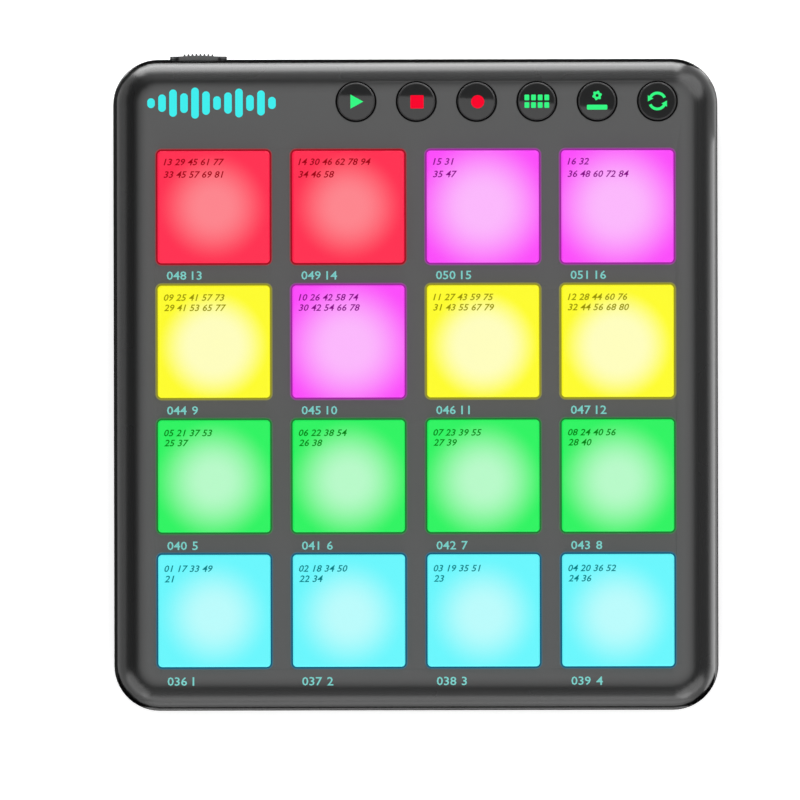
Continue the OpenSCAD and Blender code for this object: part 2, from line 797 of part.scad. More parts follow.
module battery_pack() {
  color("#9aa0a6") translate([0, 0, z_battery]) {
    translate([0, battery_y, 0])
      rounded_slab(battery_w, battery_l, battery_t, battery_corner_r, battery_edge_r);
    translate([-strip_w / 2, strip_y - 2 * strip_d, 0]) cube([strip_w, 2 * strip_d, strip_t]);
  }
}

module battery_tape() {
  tape_inset = 4;
  color("#e0ddd0") translate([0, battery_y, z_floor]) linear_extrude(tape_t)
    square([battery_w - 2 * tape_inset, battery_l - 2 * tape_inset], center = true);
}

// A lead that leaves the battery straight, steps to the right in two quarter turns and enters the connector
// straight. The one further left turns later by the gap between the two, so that they run side by side.
module battery_lead(x) {
  first_run = lead_run - x;
  last_run = lead_run + x;
  translate([x, strip_y, lead_z]) {
    rotate([-90, 0, 0]) cylinder(first_run, d = lead_d);
    translate([lead_bend_r, first_run, 0]) rotate(90) rotate_extrude(angle = 90)
      translate([lead_bend_r, 0]) circle(d = lead_d);
    translate([lead_bend_r, first_run + 2 * lead_bend_r, 0]) rotate(-90) rotate_extrude(angle = 90)
      translate([lead_bend_r, 0]) circle(d = lead_d);
    translate([2 * lead_bend_r, first_run + 2 * lead_bend_r, 0]) rotate([-90, 0, 0])
      cylinder(last_run, d = lead_d);
  }
}

module battery_lead_red() {
  color("#c0282d") battery_lead(-lead_gap / 2);
}

module battery_lead_black() {
  color("#1c1d1f") battery_lead(lead_gap / 2);
}

module battery_connector() {
  connector_drop = 1.2;
  base_z = lead_z - connector_drop;
  color(MILKY) translate([lead_end_x - connector_w / 2, lead_end_y, base_z])
    cube([connector_w, connector_d, z_board - base_z]);
}

module board_chip(x, y, side, h) {
  color("#232427") translate([x - side / 2, y - side / 2, z_board - h]) cube([side, side, h]);
}

module controller_chip() {
  chip_side = 10;
  chip_h = 1.2;
  board_chip(pitch / 2, grid_y - pitch / 2, chip_side, chip_h);
}

module charger_chip() {
  chip_side = 4;
  chip_h = 0.9;
  board_chip(port_x + port_w, port_y - 2 * port_d, chip_side, chip_h);
}

top_shell();
bottom_shell();
rubber_feet();
case_screws();
main_pcb();
pcb_screws();
light_tray();
sensor_film();
sensor_connector();
pad_return_rings();
pad_leds();
button_dome_mat();
button_leds();
port_shell();
port_tongue();
power_switch_body();
power_switch_lever();
power_slider();
slider_retainer();
battery_pack();
battery_tape();
battery_lead_red();
battery_lead_black();
battery_connector();
controller_chip();
charger_chip();
for (i = [1:pads])
  pad(i);
for (i = [1:buttons])
  button(i);
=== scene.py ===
# %% [markdown]
# # A pad controller, dressed in Blender
# The object is a flat desktop box with sixteen lit rubber pads, six round buttons and a small slide switch at
# the rear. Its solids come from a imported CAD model. This script loads that model as a fixed frame, in metres,
# and puts finished surfaces round it. A piece that stands for a solid takes its place from that solid, and
# only what the solids don't have, such as ink and light, gets its place here.

import json
import math

import bmesh
import bpy
import numpy as np
from mathutils import Matrix, Vector


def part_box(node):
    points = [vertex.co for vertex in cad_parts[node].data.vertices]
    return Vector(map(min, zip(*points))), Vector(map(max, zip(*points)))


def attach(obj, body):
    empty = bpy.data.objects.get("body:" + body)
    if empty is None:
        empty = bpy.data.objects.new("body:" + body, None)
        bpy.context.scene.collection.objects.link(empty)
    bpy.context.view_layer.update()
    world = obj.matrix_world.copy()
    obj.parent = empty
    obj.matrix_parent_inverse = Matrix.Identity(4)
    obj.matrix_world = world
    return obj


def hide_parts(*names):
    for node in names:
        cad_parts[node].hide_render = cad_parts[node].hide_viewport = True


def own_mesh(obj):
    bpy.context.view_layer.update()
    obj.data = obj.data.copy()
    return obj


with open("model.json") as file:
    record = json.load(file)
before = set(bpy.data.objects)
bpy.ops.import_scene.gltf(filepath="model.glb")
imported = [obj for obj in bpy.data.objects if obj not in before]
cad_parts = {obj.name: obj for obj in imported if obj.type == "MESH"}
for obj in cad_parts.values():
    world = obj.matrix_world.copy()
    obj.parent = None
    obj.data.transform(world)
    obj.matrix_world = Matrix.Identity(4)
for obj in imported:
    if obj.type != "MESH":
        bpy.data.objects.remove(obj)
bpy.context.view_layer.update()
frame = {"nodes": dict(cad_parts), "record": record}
MM = 0.001

# %% [markdown]
# ## The camera
# The object is seen from straight above, so far away that its sides don't show. A long lens high over the
# desk does that, and it is set from three plain facts: the picture is 211 mm wide at the height of the face,
# its middle lies about four millimetres to the left of and in front of the middle of the housing, and the
# camera is turned by an eighth of a degree.

# %% Camera
top_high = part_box("top_shell")[1]
FACE_Z = top_high.z
VIEW_WIDTH = 211.0 * MM
CAMERA_RISE = 7.0
VIEW_X = -4.195 * MM
VIEW_Y = -4.02 * MM
VIEW_TURN = math.radians(-0.12)
SENSOR = 36.0
VIEW_DEPTH = 100.0

camera_data = bpy.data.cameras.new("camera")
camera_data.sensor_width = SENSOR
camera_data.lens = SENSOR * CAMERA_RISE / VIEW_WIDTH
camera_data.clip_end = VIEW_DEPTH
camera = bpy.data.objects.new("camera", camera_data)
camera.location = (VIEW_X, VIEW_Y, FACE_Z + CAMERA_RISE)
camera.rotation_euler = (0.0, 0.0, VIEW_TURN)
bpy.context.scene.collection.objects.link(camera)
bpy.context.scene.camera = camera
bpy.context.scene.view_settings.view_transform = "Standard"
print("lens:", round(camera_data.lens), "mm")

# %% [markdown]
# ## Writing node trees as sums
# Materials and Geometry Nodes are both made of nodes, and maths in nodes is hard to read when every node is a
# few lines of Python. The class below wraps one output socket. Adding or multiplying two of them adds a Math
# node, so a rule can be written as it would be on paper. Any other node comes from one method, which sets the
# node's own settings first and then its sockets.


# %% Socket class
class Sock:
    """An output socket of a node tree that can stand in a sum."""

    def __init__(self, tree, node, out=0):
        self.tree = tree
        self.node = node
        self.out = node.outputs[out]

    @staticmethod
    def new(tree, kind, settings=(), sockets=(), out=0):
        """Adds a node: first its own settings, then the values or links of its sockets."""
        node = tree.nodes.new(kind)
        for name, value in dict(settings).items():
            setattr(node, name, value)
        for key, value in dict(sockets).items():
            many = value if isinstance(value, list) else [value]
            for one in many:
                if isinstance(one, Sock):
                    tree.links.new(one.out, node.inputs[key])
                else:
                    node.inputs[key].default_value = one
        return Sock(tree, node, out)

    def other(self, out):
        """Another output of the same node."""
        return Sock(self.tree, self.node, out)

    def math(self, operation, first, second=0.0, clamp=False):
        settings = {"operation": operation, "use_clamp": clamp}
        return Sock.new(self.tree, "ShaderNodeMath", settings, {0: first, 1: second})

    def __add__(self, value):
        return self.math("ADD", self, value)

    def __radd__(self, value):
        return self.math("ADD", value, self)

    def __sub__(self, value):
        return self.math("SUBTRACT", self, value)

    def __rsub__(self, value):
        return self.math("SUBTRACT", value, self)

    def __mul__(self, value):
        return self.math("MULTIPLY", self, value)

    def __rmul__(self, value):
        return self.math("MULTIPLY", value, self)

    def __truediv__(self, value):
        return self.math("DIVIDE", self, value)

    def __neg__(self):
        return self.math("MULTIPLY", self, -1.0)

    def smooth(self, start, end):
        """0 before start, 1 after end, with a soft step between them."""
        settings = {"interpolation_type": "SMOOTHSTEP"}
        return Sock.new(self.tree, "ShaderNodeMapRange", settings, {0: self, 1: start, 2: end})

    def mix(self, first, second):
        """The first colour where this is 0, the second where it is 1."""
        settings = {"data_type": "RGBA"}
        return Sock.new(self.tree, "ShaderNodeMix", settings, {0: self, 6: first, 7: second}, 2)


print("socket class ready")

# %% [markdown]
# ## Materials
# Colours are written as a painter would pick them from a screen, and turned into the linear values that light
# follows. Each finish is a Principled shader with a pattern that comes from the place on the piece: mould
# grain, a cloud of gloss, brushed lines. The patterns are small, because the real textures are.

# %% Colour and finish helpers
CLOUD = 18 * MM
CLOUD_DETAIL = 3.0
GLOSS_CHANGE = 0.1
MOULD_GRAIN = 0.25 * MM
MOULD_DEPTH = 0.01 * MM


def linear(red, green, blue):
    """A colour as a screen shows it, from 0 to 255, in linear values."""

    def one(c):
        c = c / 255
        return c / 12.92 if c <= 0.04045 else ((c + 0.055) / 1.055) ** 2.4

    return (one(red), one(green), one(blue), 1.0)


def scaled(colour, factor):
    return tuple(c * factor for c in colour[:3]) + (1.0,)


def varied(pattern, colour, change):
    """The colour, a little darker where the pattern is low and a little lighter where it is high."""
    return pattern.mix(scaled(colour, 1 - change), scaled(colour, 1 + change))


class Finish:
    """A material with one Principled shader and the place on the piece to read patterns from."""

    def __init__(self, name, **constants):
        self.material = bpy.data.materials.new(name)
        self.material.use_nodes = True
        self.tree = self.material.node_tree
        self.shader = self.tree.nodes["Principled BSDF"]
        self.place = self.new("ShaderNodeTexCoord", out="Object")
        for socket, value in constants.items():
            self.set(socket.replace("_", " "), value)

    def new(self, kind, settings=(), sockets=(), out=0):
        return Sock.new(self.tree, kind, settings, sockets, out)

    def set(self, socket, value):
        if isinstance(value, Sock):
            self.tree.links.new(value.out, self.shader.inputs[socket])
        else:
            self.shader.inputs[socket].default_value = value

    def noise(self, size, detail=2.0):
        """A cloud whose lumps are about this large, in metres."""
        return self.new("ShaderNodeTexNoise", (), {"Vector": self.place, "Scale": 1 / size, "Detail": detail})

    def height(self):
        return self.new("ShaderNodeSeparateXYZ", (), {0: self.place}, "Z")

    def bump(self, pattern, depth):
        """Relief that follows a pattern, this deep in metres."""
        self.set("Normal", self.new("ShaderNodeBump", (), {"Height": pattern, "Distance": depth}))


def moulded(name, colour, roughness, grain=MOULD_GRAIN, depth=MOULD_DEPTH, change=0.12, **constants):
    """Plain moulded plastic or rubber: fine grain, and a slow change of tone and gloss over the piece."""
    finish = Finish(name, **constants)
    cloud = finish.noise(CLOUD, CLOUD_DETAIL)
    finish.set("Base Color", varied(cloud, colour, change))
    finish.set("Roughness", roughness - GLOSS_CHANGE / 2 + GLOSS_CHANGE * cloud)
    finish.bump(finish.noise(grain), depth)
    return finish.material


print("finish helpers ready")

# %% [markdown]
# ## The upper shell's plastic
# The upper shell is dark grey plastic. Its flat face is matt, and the broad rounded edge is smoother, so that
# it shows one soft band of light. The rounded edge is also painted a darker grey than the face, and darkest
# down
# by the seam, where it is smoothest too: these darker greys are painted shade. One material holds these
# finishes and passes from one to the next by how far a point lies inside the outline, seen from above. That
# outline is a rectangle with rounded corners: beside a corner the distance is measured from the corner's own
# centre. Round each window the lit pad throws a little of its colour on the bevel. That colour is painted
# light: it is stored on the mesh, and the material lets it glow.

# %% Shell material
FACE_GREY = (0.0575, 0.0584, 0.0584, 1.0)
FACE_CHANGE = 0.03
# The darker grey of the rounded edge, and its darker share down by the seam, are painted shade.
EDGE_SHADE_GREY = (0.0085, 0.0087, 0.0088, 1.0)
EDGE_CHANGE = 0.06
SEAM_SHADE = 0.15
SEAM_ROUGHNESS = 0.12
EDGE_ROUGHNESS = 0.25
FACE_ROUGHNESS = 0.48
TONE_ROUGHNESS = 0.04
PLAN_CORNER = 11.7 * MM
EDGE_END = 5.0 * MM
FACE_FROM = 9.2 * MM
SEAM_DARK = 0.4 * MM
SEAM_CLEAR = 2.4 * MM
SEAM_SMOOTH = 0.2 * MM
SEAM_ROUGH = 2.0 * MM
SHELL_CLOUD = 30 * MM
SHELL_GRAIN = 0.22 * MM
SHELL_DEPTH = 0.006 * MM

shell = Finish("shell_plastic", Specular_IOR_Level=0.3, Emission_Strength=1.0)
spot_x = shell.new("ShaderNodeSeparateXYZ", (), {0: shell.place}, "X")
spot_y = spot_x.other("Y")
past_x = spot_x.math("ABSOLUTE", spot_x) - (top_high.x - PLAN_CORNER)
past_y = spot_y.math("ABSOLUTE", spot_y) - (top_high.y - PLAN_CORNER)
out_x = past_x.math("MAXIMUM", past_x, 0.0)
out_y = past_y.math("MAXIMUM", past_y, 0.0)
round_part = out_x.math("SQRT", out_x * out_x + out_y * out_y)
straight_part = past_x.math("MINIMUM", past_x.math("MAXIMUM", past_x, past_y), 0.0)
inset = PLAN_CORNER - round_part - straight_part
on_face = inset.smooth(EDGE_END, FACE_FROM)
tone = shell.noise(SHELL_CLOUD, CLOUD_DETAIL)
face_tone = varied(tone, FACE_GREY, FACE_CHANGE)
# Painted shade: the rounded edge takes a darker grey than the face, darker still by the seam.
edge_shade_tone = varied(tone, EDGE_SHADE_GREY, EDGE_CHANGE)
edge_shade_tone = inset.smooth(SEAM_DARK, SEAM_CLEAR).mix(scaled(EDGE_SHADE_GREY, SEAM_SHADE), edge_shade_tone)
shell.set("Base Color", on_face.mix(edge_shade_tone, face_tone))
off_seam = inset.smooth(SEAM_SMOOTH, SEAM_ROUGH)
to_edge = EDGE_ROUGHNESS - SEAM_ROUGHNESS
to_face = FACE_ROUGHNESS - EDGE_ROUGHNESS
shell.set("Roughness", SEAM_ROUGHNESS + to_edge * off_seam + to_face * on_face + TONE_ROUGHNESS * tone)
shell.bump(shell.noise(SHELL_GRAIN), SHELL_DEPTH)
# Painted light: the pads' colour on the window bevels glows.
spill = shell.new("ShaderNodeAttribute", {"attribute_name": "pad_spill"}, (), "Color")
shell.set("Emission Color", spill)
print("made", shell.material.name)

# %% [markdown]
# ## The lit pads' silicone
# A pad is milky silicone with a lamp under it, pale over the lamp and more saturated near its sides. On the
# three front rows the pale part lies a little in front of the middle. The pad's own coordinates, measured
# from the middle of the pale part, are stored on its mesh, and the distance from there sets how far the
# colour goes from its pale tone to its edge tone. Light leaves the pad mainly above the face. Below the face
# its sides and flange glow in a deeper, darker tone and have a darker paint: partly the pad's own weaker
# light, partly painted shade of the gap, which draws the thin darker line round each pad. Each entry below
# has the tone near the sides, the tone over the lamp and the painted gap shade, and then where the pale part
# begins to fade and where it has faded out, as shares of half a pad.

# %% Pad materials
PAD_HALF = 14.8 * MM
PAD_GLOW = {
    "pad_cyan": ((104, 242, 248), (186, 247, 247), (10, 88, 118), 0.2, 1.06),
    "pad_green": ((34, 238, 96), (184, 245, 200), (28, 116, 50), 0.19, 1.13),
    "pad_yellow": ((249, 247, 30), (250, 249, 190), (144, 141, 36), 0.4, 1.01),
    "pad_magenta": ((247, 74, 246), (247, 183, 248), (150, 40, 150), 0.26, 1.3),
    "pad_red": ((250, 42, 80), (248, 133, 141), (152, 6, 26), 0.21, 1.03),
}
PAD_PAINT = 0.25
# The paint of a pad below the face, as a share of its edge tone, is painted shade of the gap.
GAP_SHADE_PAINT = 0.02
PAD_LEVEL = 0.22
PAD_SHEEN = 0.024
DEEP_UNDER = 0.9 * MM
CLEAR_OVER = 0.2 * MM
PAD_GRAIN = 0.3 * MM
PAD_DEPTH = 0.006 * MM
PLAN = (1.0, 1.0, 0.0)


def emitted(colour, paint):
    """What a lit surface has to give so that, with the light it reflects, it shows this colour."""
    return tuple(max(c - PAD_LEVEL * p - PAD_SHEEN, 0.0) for c, p in zip(colour[:3], paint[:3])) + (1.0,)


def pad_silicone(name, edge_rgb, middle_rgb, gap_shade_rgb, core, reach):
    """Silicone pale over the lamp, stronger in colour near its sides, with painted gap shade below the face."""
    edge = linear(*edge_rgb)
    middle = linear(*middle_rgb)
    gap_shade = linear(*gap_shade_rgb)
    finish = Finish(name, Roughness=0.55, Specular_IOR_Level=0.2, Emission_Strength=1.0)
    spot = finish.new("ShaderNodeAttribute", {"attribute_name": "pad_plan"}, (), "Vector")
    flat = finish.new("ShaderNodeVectorMath", {"operation": "MULTIPLY"}, {0: spot, 1: PLAN})
    away = finish.new("ShaderNodeVectorMath", {"operation": "LENGTH"}, {0: flat}, "Value") / PAD_HALF
    hot = away.smooth(reach, core)
    over_face = finish.height().smooth(FACE_Z - DEEP_UNDER, FACE_Z + CLEAR_OVER)
    lamp = hot.mix(emitted(edge, edge), emitted(middle, edge))
    # Below the face both the glow and the paint are darker: partly the pad's own weaker light, partly painted
    # shade of the gap.
    finish.set("Emission Color", over_face.mix(gap_shade, lamp))
    finish.set("Base Color", over_face.mix(scaled(edge, GAP_SHADE_PAINT), scaled(edge, PAD_PAINT)))
    finish.bump(finish.noise(PAD_GRAIN), PAD_DEPTH)
    return finish.material


pad_finish = {name: pad_silicone(name, *values) for name, values in PAD_GLOW.items()}
print("made", ", ".join(pad_finish))

# %% [markdown]
# ## The button caps' plastic
# The caps are black plastic with a polished top and a satin side. Their flange is matt and painted almost
# black, as painted shade, because it lies under the face. The height of a point tells these three apart.

# %% Cap material
CAP_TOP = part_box("button_play")[1].z
CAP_DARK = (0.0165, 0.0168, 0.017, 1.0)
CAP_PALE = (0.0205, 0.0208, 0.021, 1.0)
FLANGE_SHADE_BLACK = (0.003, 0.003, 0.003, 1.0)
FLANGE_ROUGHNESS = 0.9
SIDE_ROUGHNESS = 0.74
TOP_ROUGHNESS = 0.012
GAP_DARK = 0.4 * MM
GAP_CLEAR = 0.1 * MM
POLISH_START = 0.1 * MM
POLISH_FULL = 0.01 * MM
CAP_DUST = 2.5 * MM
CAP_WAVE = 3 * MM
CAP_DEPTH = 0.0001 * MM

button_gloss = Finish("button_gloss", Specular_IOR_Level=0.24)
dust = button_gloss.noise(CAP_DUST, CLOUD_DETAIL)
cap_height = button_gloss.height()
over_gap = cap_height.smooth(FACE_Z - GAP_DARK, FACE_Z - GAP_CLEAR)
polished = cap_height.smooth(CAP_TOP - POLISH_START, CAP_TOP - POLISH_FULL)
# Painted shade: under the face the cap's colour goes almost black.
button_gloss.set("Base Color", over_gap.mix(FLANGE_SHADE_BLACK, dust.mix(CAP_DARK, CAP_PALE)))
to_side = FLANGE_ROUGHNESS - SIDE_ROUGHNESS
to_top = SIDE_ROUGHNESS - TOP_ROUGHNESS
button_gloss.set("Roughness", FLANGE_ROUGHNESS - to_side * over_gap - to_top * polished)
button_gloss.bump(button_gloss.noise(CAP_WAVE), CAP_DEPTH)
print("made", button_gloss.material.name)

# %% [markdown]
# ## Ink, steel and board
# Legends are ink or lit windows, so part of their colour is paint and part is light: light from behind on the
# pads and buttons, and painted light in the teal ink on the face, which has no lamp behind it. Steel gets fine
# drawn lines, and the board its copper tracks under green lacquer.

# %% Ink, steel and board materials
INK_GRAIN = 0.4 * MM
INK_PAINT_LOW = 0.92
INK_LIGHT_LOW = 0.96
STEEL_LINE = 0.12 * MM
STEEL_DEPTH = 0.002 * MM
STEEL_DARK = 0.88
STEEL_BRIGHT = 1.05
STEEL_ROUGHNESS = 0.26
STEEL_CHANGE = 0.14
BOARD_CLOUD = 12 * MM
TRACK_PITCH = 2.4 * MM
TRACK_RISE = 0.03 * MM


def legend_ink(name, colour, glow):
    """Ink or a lit window: part of the colour is paint, part glows as light from behind or as painted light."""
    finish = Finish(name, Roughness=0.5, Specular_IOR_Level=0.02, Emission_Strength=1.0)
    grain = finish.noise(INK_GRAIN)
    paint = scaled(colour, 1 - glow)
    light = scaled(colour, glow)
    finish.set("Base Color", grain.mix(scaled(paint, INK_PAINT_LOW), paint))
    finish.set("Emission Color", grain.mix(scaled(light, INK_LIGHT_LOW), light))
    return finish.material


def drawn_steel(name, colour, direction):
    """Bare metal with fine lines along one direction."""
    finish = Finish(name, Metallic=1.0)
    lines = finish.new("ShaderNodeMapping", (), {"Vector": finish.place, "Scale": direction})
    sockets = {"Vector": lines, "Scale": 1 / STEEL_LINE, "Detail": 2.0}
    brushed = finish.new("ShaderNodeTexNoise", (), sockets)
    finish.set("Base Color", brushed.mix(scaled(colour, STEEL_DARK), scaled(colour, STEEL_BRIGHT)))
    finish.set("Roughness", STEEL_ROUGHNESS + STEEL_CHANGE * brushed)
    finish.bump(brushed, STEEL_DEPTH)
    return finish.material


def circuit_board(name):
    """Green lacquer with the ridges of copper tracks under it."""
    finish = Finish(name, Roughness=0.3)
    sockets = {"Vector": finish.place, "Scale": 1 / TRACK_PITCH, "Mortar Size": 0.03, "Row Height": 0.5}
    tracks = finish.new("ShaderNodeTexBrick", {"offset": 0.35}, sockets, "Fac")
    tint = finish.noise(BOARD_CLOUD)
    field = tint.mix(linear(24, 84, 54), linear(33, 98, 64))
    finish.set("Base Color", tracks.mix(field, linear(52, 128, 84)))
    finish.bump(tracks, TRACK_RISE)
    return finish.material


print("ink, steel and board ready")

# %% [markdown]
# ## The thumb piece's plastic
# The thumb piece of the slide switch is a little lighter than the face. Dark bands of painted shade mark its
# two tips and the two feet of its crown, where its surface curves away, and a point is in a band by how far it
# lies from the nearer end.

# %% Thumb piece material
SLIDER_GREY = (0.062, 0.063, 0.063, 1.0)
SLIDER_CHANGE = 0.12
SLIDER_SHADE = 0.12
SLIDER_ROUGHNESS = 0.5
TIP_DARK = 0.3 * MM
TIP_CLEAR = 0.7 * MM
FOOT_START = (1.3 * MM, 1.7 * MM)
FOOT_END = (2.2 * MM, 2.6 * MM)

slider_low, slider_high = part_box("power_slider")
slider = Finish("slider_plastic", Specular_IOR_Level=0.3)
slider_cloud = slider.noise(CLOUD, CLOUD_DETAIL)
slider_x = slider.new("ShaderNodeSeparateXYZ", (), {0: slider.place}, "X")
off_middle = slider_x.math("ABSOLUTE", slider_x - (slider_low.x + slider_high.x) / 2)
from_end = (slider_high.x - slider_low.x) / 2 - off_middle
# Painted shade: dark bands at the tips and at the feet of the crown.
tip = 1 - from_end.smooth(TIP_DARK, TIP_CLEAR)
crown_foot_shade = from_end.smooth(*FOOT_START) - from_end.smooth(*FOOT_END)
slider_tone = varied(slider_cloud, SLIDER_GREY, SLIDER_CHANGE)
slider.set("Base Color", (tip + crown_foot_shade).mix(slider_tone, scaled(SLIDER_GREY, SLIDER_SHADE)))
slider.set("Roughness", SLIDER_ROUGHNESS - GLOSS_CHANGE / 2 + GLOSS_CHANGE * slider_cloud)
slider.bump(slider.noise(MOULD_GRAIN), MOULD_DEPTH)
print("made", slider.material.name)

# %% [markdown]
# ## A finish for every solid
# The model's record names a slot for each solid. Each slot gets one finish here, and every solid of the frame
# takes the finish of its slot, the ones inside the housing too.

# %% Finishes by slot
slot_finish = {
    "shell_plastic": shell.material,
    "base_plastic": moulded("base_plastic", (0.004, 0.0041, 0.0042, 1), 0.8, Specular_IOR_Level=0.1),
    "slider_plastic": slider.material,
    "foot_rubber": moulded("foot_rubber", linear(38, 39, 42), 0.75, depth=0.02 * MM),
    "screw_steel": drawn_steel("screw_steel", linear(184, 186, 189), (1.0, 1.0, 0.08)),
    "port_steel": drawn_steel("port_steel", linear(190, 191, 193), (1.0, 0.06, 1.0)),
    "board": circuit_board("board"),
    "milky_plastic": moulded("milky_plastic", linear(226, 229, 232), 0.5, change=0.03),
    "film": moulded("film", linear(201, 162, 74), 0.35, change=0.05),
    "clear_silicone": moulded("clear_silicone", linear(214, 218, 221), 0.4, change=0.03),
    "black_plastic": moulded("black_plastic", linear(28, 29, 31), 0.45),
    "battery_foil": drawn_steel("battery_foil", linear(154, 160, 166), (0.2, 1.0, 1.0)),
    "tape": moulded("tape", linear(224, 221, 208), 0.85, grain=0.6 * MM, depth=0.05 * MM, change=0.05),
    "lead_red": moulded("lead_red", linear(192, 40, 45), 0.5),
    "button_gloss": button_gloss.material,
    **pad_finish,
}
node_slot = {part["node"]: part["material_slot"] for part in frame["record"]["subparts"]}
for node, piece in frame["nodes"].items():
    piece.data.materials.clear()
    piece.data.materials.append(slot_finish[node_slot[node]])
print("finishes:", len(slot_finish))

# %% [markdown]
# ## Smooth copies of moulded solids
# A solid from CAD arrives as loose triangles, and each one would catch the light on its own. A copy with its
# doubles merged can be shaded smooth, with true corners kept sharp. Weighted normals let the large flat faces
# win at the rounded edges, so a flat stays flat up to the line where the rounding starts.

# %% Copy helper
SHARP_CORNER = 32.0
FLAT_WEIGHT = 70
WELD = 0.0005 * MM
body_of = {node: body for body, nodes in frame["record"]["behaviour"]["bodies"].items() for node in nodes}


def link(data, name):
    piece = bpy.data.objects.new(name, data)
    bpy.context.scene.collection.objects.link(piece)
    return piece


def shade(piece):
    """Smooth shading with sharp corners, and flats that stay flat."""
    mesh = piece.data
    mesh.polygons.foreach_set("use_smooth", [True] * len(mesh.polygons))
    mesh.set_sharp_from_angle(angle=math.radians(SHARP_CORNER))
    weighted = piece.modifiers.new("flats", "WEIGHTED_NORMAL")
    weighted.keep_sharp = True
    weighted.weight = FLAT_WEIGHT


def stand_in(piece, node):
    """The piece replaces a solid: it rides on that solid's body, and the solid is hidden."""
    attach(piece, body_of[node])
    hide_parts(node)


def smooth_copy(node, name):
    """A copy of a solid with its doubles merged, shaded smooth."""
    mesh = frame["nodes"][node].data.copy()
    mesh.name = name
    work = bmesh.new()
    work.from_mesh(mesh)
    bmesh.ops.remove_doubles(work, verts=work.verts, dist=WELD)
    bmesh.ops.dissolve_degenerate(work, edges=work.edges, dist=WELD)
    work.to_mesh(mesh)
    work.free()
    piece = link(mesh, name)
    shade(piece)
    return piece


SMOOTH = {
    "top_shell": "top_cover",
    "bottom_shell": "base_tub",
    "rubber_feet": "feet",
    "case_screws": "cover_screws",
    "port_shell": "port_sleeve",
    "port_tongue": "port_contacts",
    "power_slider": "thumb_slider",
}
smoothed = {node: smooth_copy(node, name) for node, name in SMOOTH.items()}
for node, piece in smoothed.items():
    stand_in(piece, node)
print("smooth copies:", {p.name: len(p.data.polygons) for p in smoothed.values()})

# %% [markdown]
# ## Painted light on the window bevels
# The colour that a pad throws on the bevel of its window is painted light: it is stored on the cover, at the
# corners of its faces, and glows. A bevel is found by its slope and by the pad whose window it belongs to. It
# is brightest at its inner line and fades towards the face, and the wall of the window under it carries a
# trace.

# %% Bevel light
ROW = 4
PADS = [f"pad_{number:02d}" for number in range(1, ROW * ROW + 1)]
pad_box = {pad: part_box(pad) for pad in PADS}
pad_middle = {pad: (low + high) / 2 for pad, (low, high) in pad_box.items()}
WINDOW_HALF = 15.2 * MM
WINDOW_DEPTH = 2.2 * MM
BEVEL = 0.3 * MM
BEVEL_GLOW = 0.85
BEVEL_FADE = 0.3
WALL_GLOW = 0.3
WALL_RISE = -0.02
FLAT_SLOPE = 0.95
UNDER_SLOPE = -0.5


def off_pad(pad, spot):
    """How far a point lies from a pad's middle, along the axis on which it lies further off."""
    return max(abs(spot.x - pad_middle[pad].x), abs(spot.y - pad_middle[pad].y))


cover = smoothed["top_shell"].data
bevel_light = cover.color_attributes.new("pad_spill", "FLOAT_COLOR", "CORNER")
colours = np.zeros((len(cover.loops), 4), np.float32)
colours[:, 3] = 1.0
lit = 0
for face in cover.polygons:
    distance = {pad: off_pad(pad, face.center) for pad in PADS}
    near = min(distance, key=distance.get)
    in_window = distance[near] < WINDOW_HALF + BEVEL and face.center.z > FACE_Z - WINDOW_DEPTH
    if not in_window or face.normal.z > FLAT_SLOPE or face.normal.z < UNDER_SLOPE:
        continue
    # Painted light: each bevel face glows in its pad's gap tone.
    gap_shade_rgb = PAD_GLOW[node_slot[near]][2]
    gap_shade = np.array(linear(*gap_shade_rgb)[:3])
    for loop in face.loop_indices:
        z = cover.vertices[cover.loops[loop].vertex_index].co.z
        rise = (z - (FACE_Z - BEVEL)) / BEVEL
        glow = WALL_GLOW if rise < WALL_RISE else BEVEL_GLOW + (BEVEL_FADE - BEVEL_GLOW) * rise
        colours[loop, :3] = gap_shade * glow
    lit += 1
bevel_light.data.foreach_set("color", colours.ravel())
print("lit bevel faces:", lit)

# %% [markdown]
# ## One tree for every key
# Pads and buttons are the same kind of thing: a cap with a rounded edge over a flange that keeps it under the
# face. A lathe makes the round one: a profile is swept round a circle. Pulling the four quarters of the
# circle apart turns it into a square with rounded corners, so one Geometry Nodes tree makes all twenty-two
# keys. The tree's inputs are the sizes of a key.


# %% Key tree inputs
def socket_in(tree, name, kind):
    return tree.interface.new_socket(name=name, in_out="INPUT", socket_type=kind).identifier


KEY_SIZES = ("Corner", "Spread", "Edge", "Top", "Flange", "Flange Top", "Flange Foot")
UNDER_SIZES = ("Under Corner", "Under Spread", "Under End")
key_tree = bpy.data.node_groups.new("rounded_key", "GeometryNodeTree")
key_tree.interface.new_socket(name="Geometry", in_out="OUTPUT", socket_type="NodeSocketGeometry")
KEY_ID = {name: socket_in(key_tree, name, "NodeSocketFloat") for name in KEY_SIZES + UNDER_SIZES}
KEY_ID["Middle"] = socket_in(key_tree, "Middle", "NodeSocketVector")
KEY_ID["Lamp"] = socket_in(key_tree, "Lamp", "NodeSocketVector")
KEY_ID["Segments"] = socket_in(key_tree, "Segments", "NodeSocketInt")
KEY_ID["Material"] = socket_in(key_tree, "Material", "NodeSocketMaterial")
print("key tree inputs:", len(KEY_ID))

# %% [markdown]
# The profile is drawn in lines, each from a radius and a height to the next. The circle that carries it has
# the radius of the key's corner, so a profile's X is measured from there. Discs close the top and the
# underside, which a swept line leaves open.


# %% Profile helpers
def key(kind, settings=(), sockets=(), out=0):
    return Sock.new(key_tree, kind, settings, sockets, out)


group_in = key_tree.nodes.new("NodeGroupInput")
take = {name: Sock(key_tree, group_in, name) for name in KEY_ID}
circle_sockets = {"Resolution": take["Segments"], "Radius": take["Corner"]}
circle = key("GeometryNodeCurvePrimitiveCircle", (), circle_sockets)


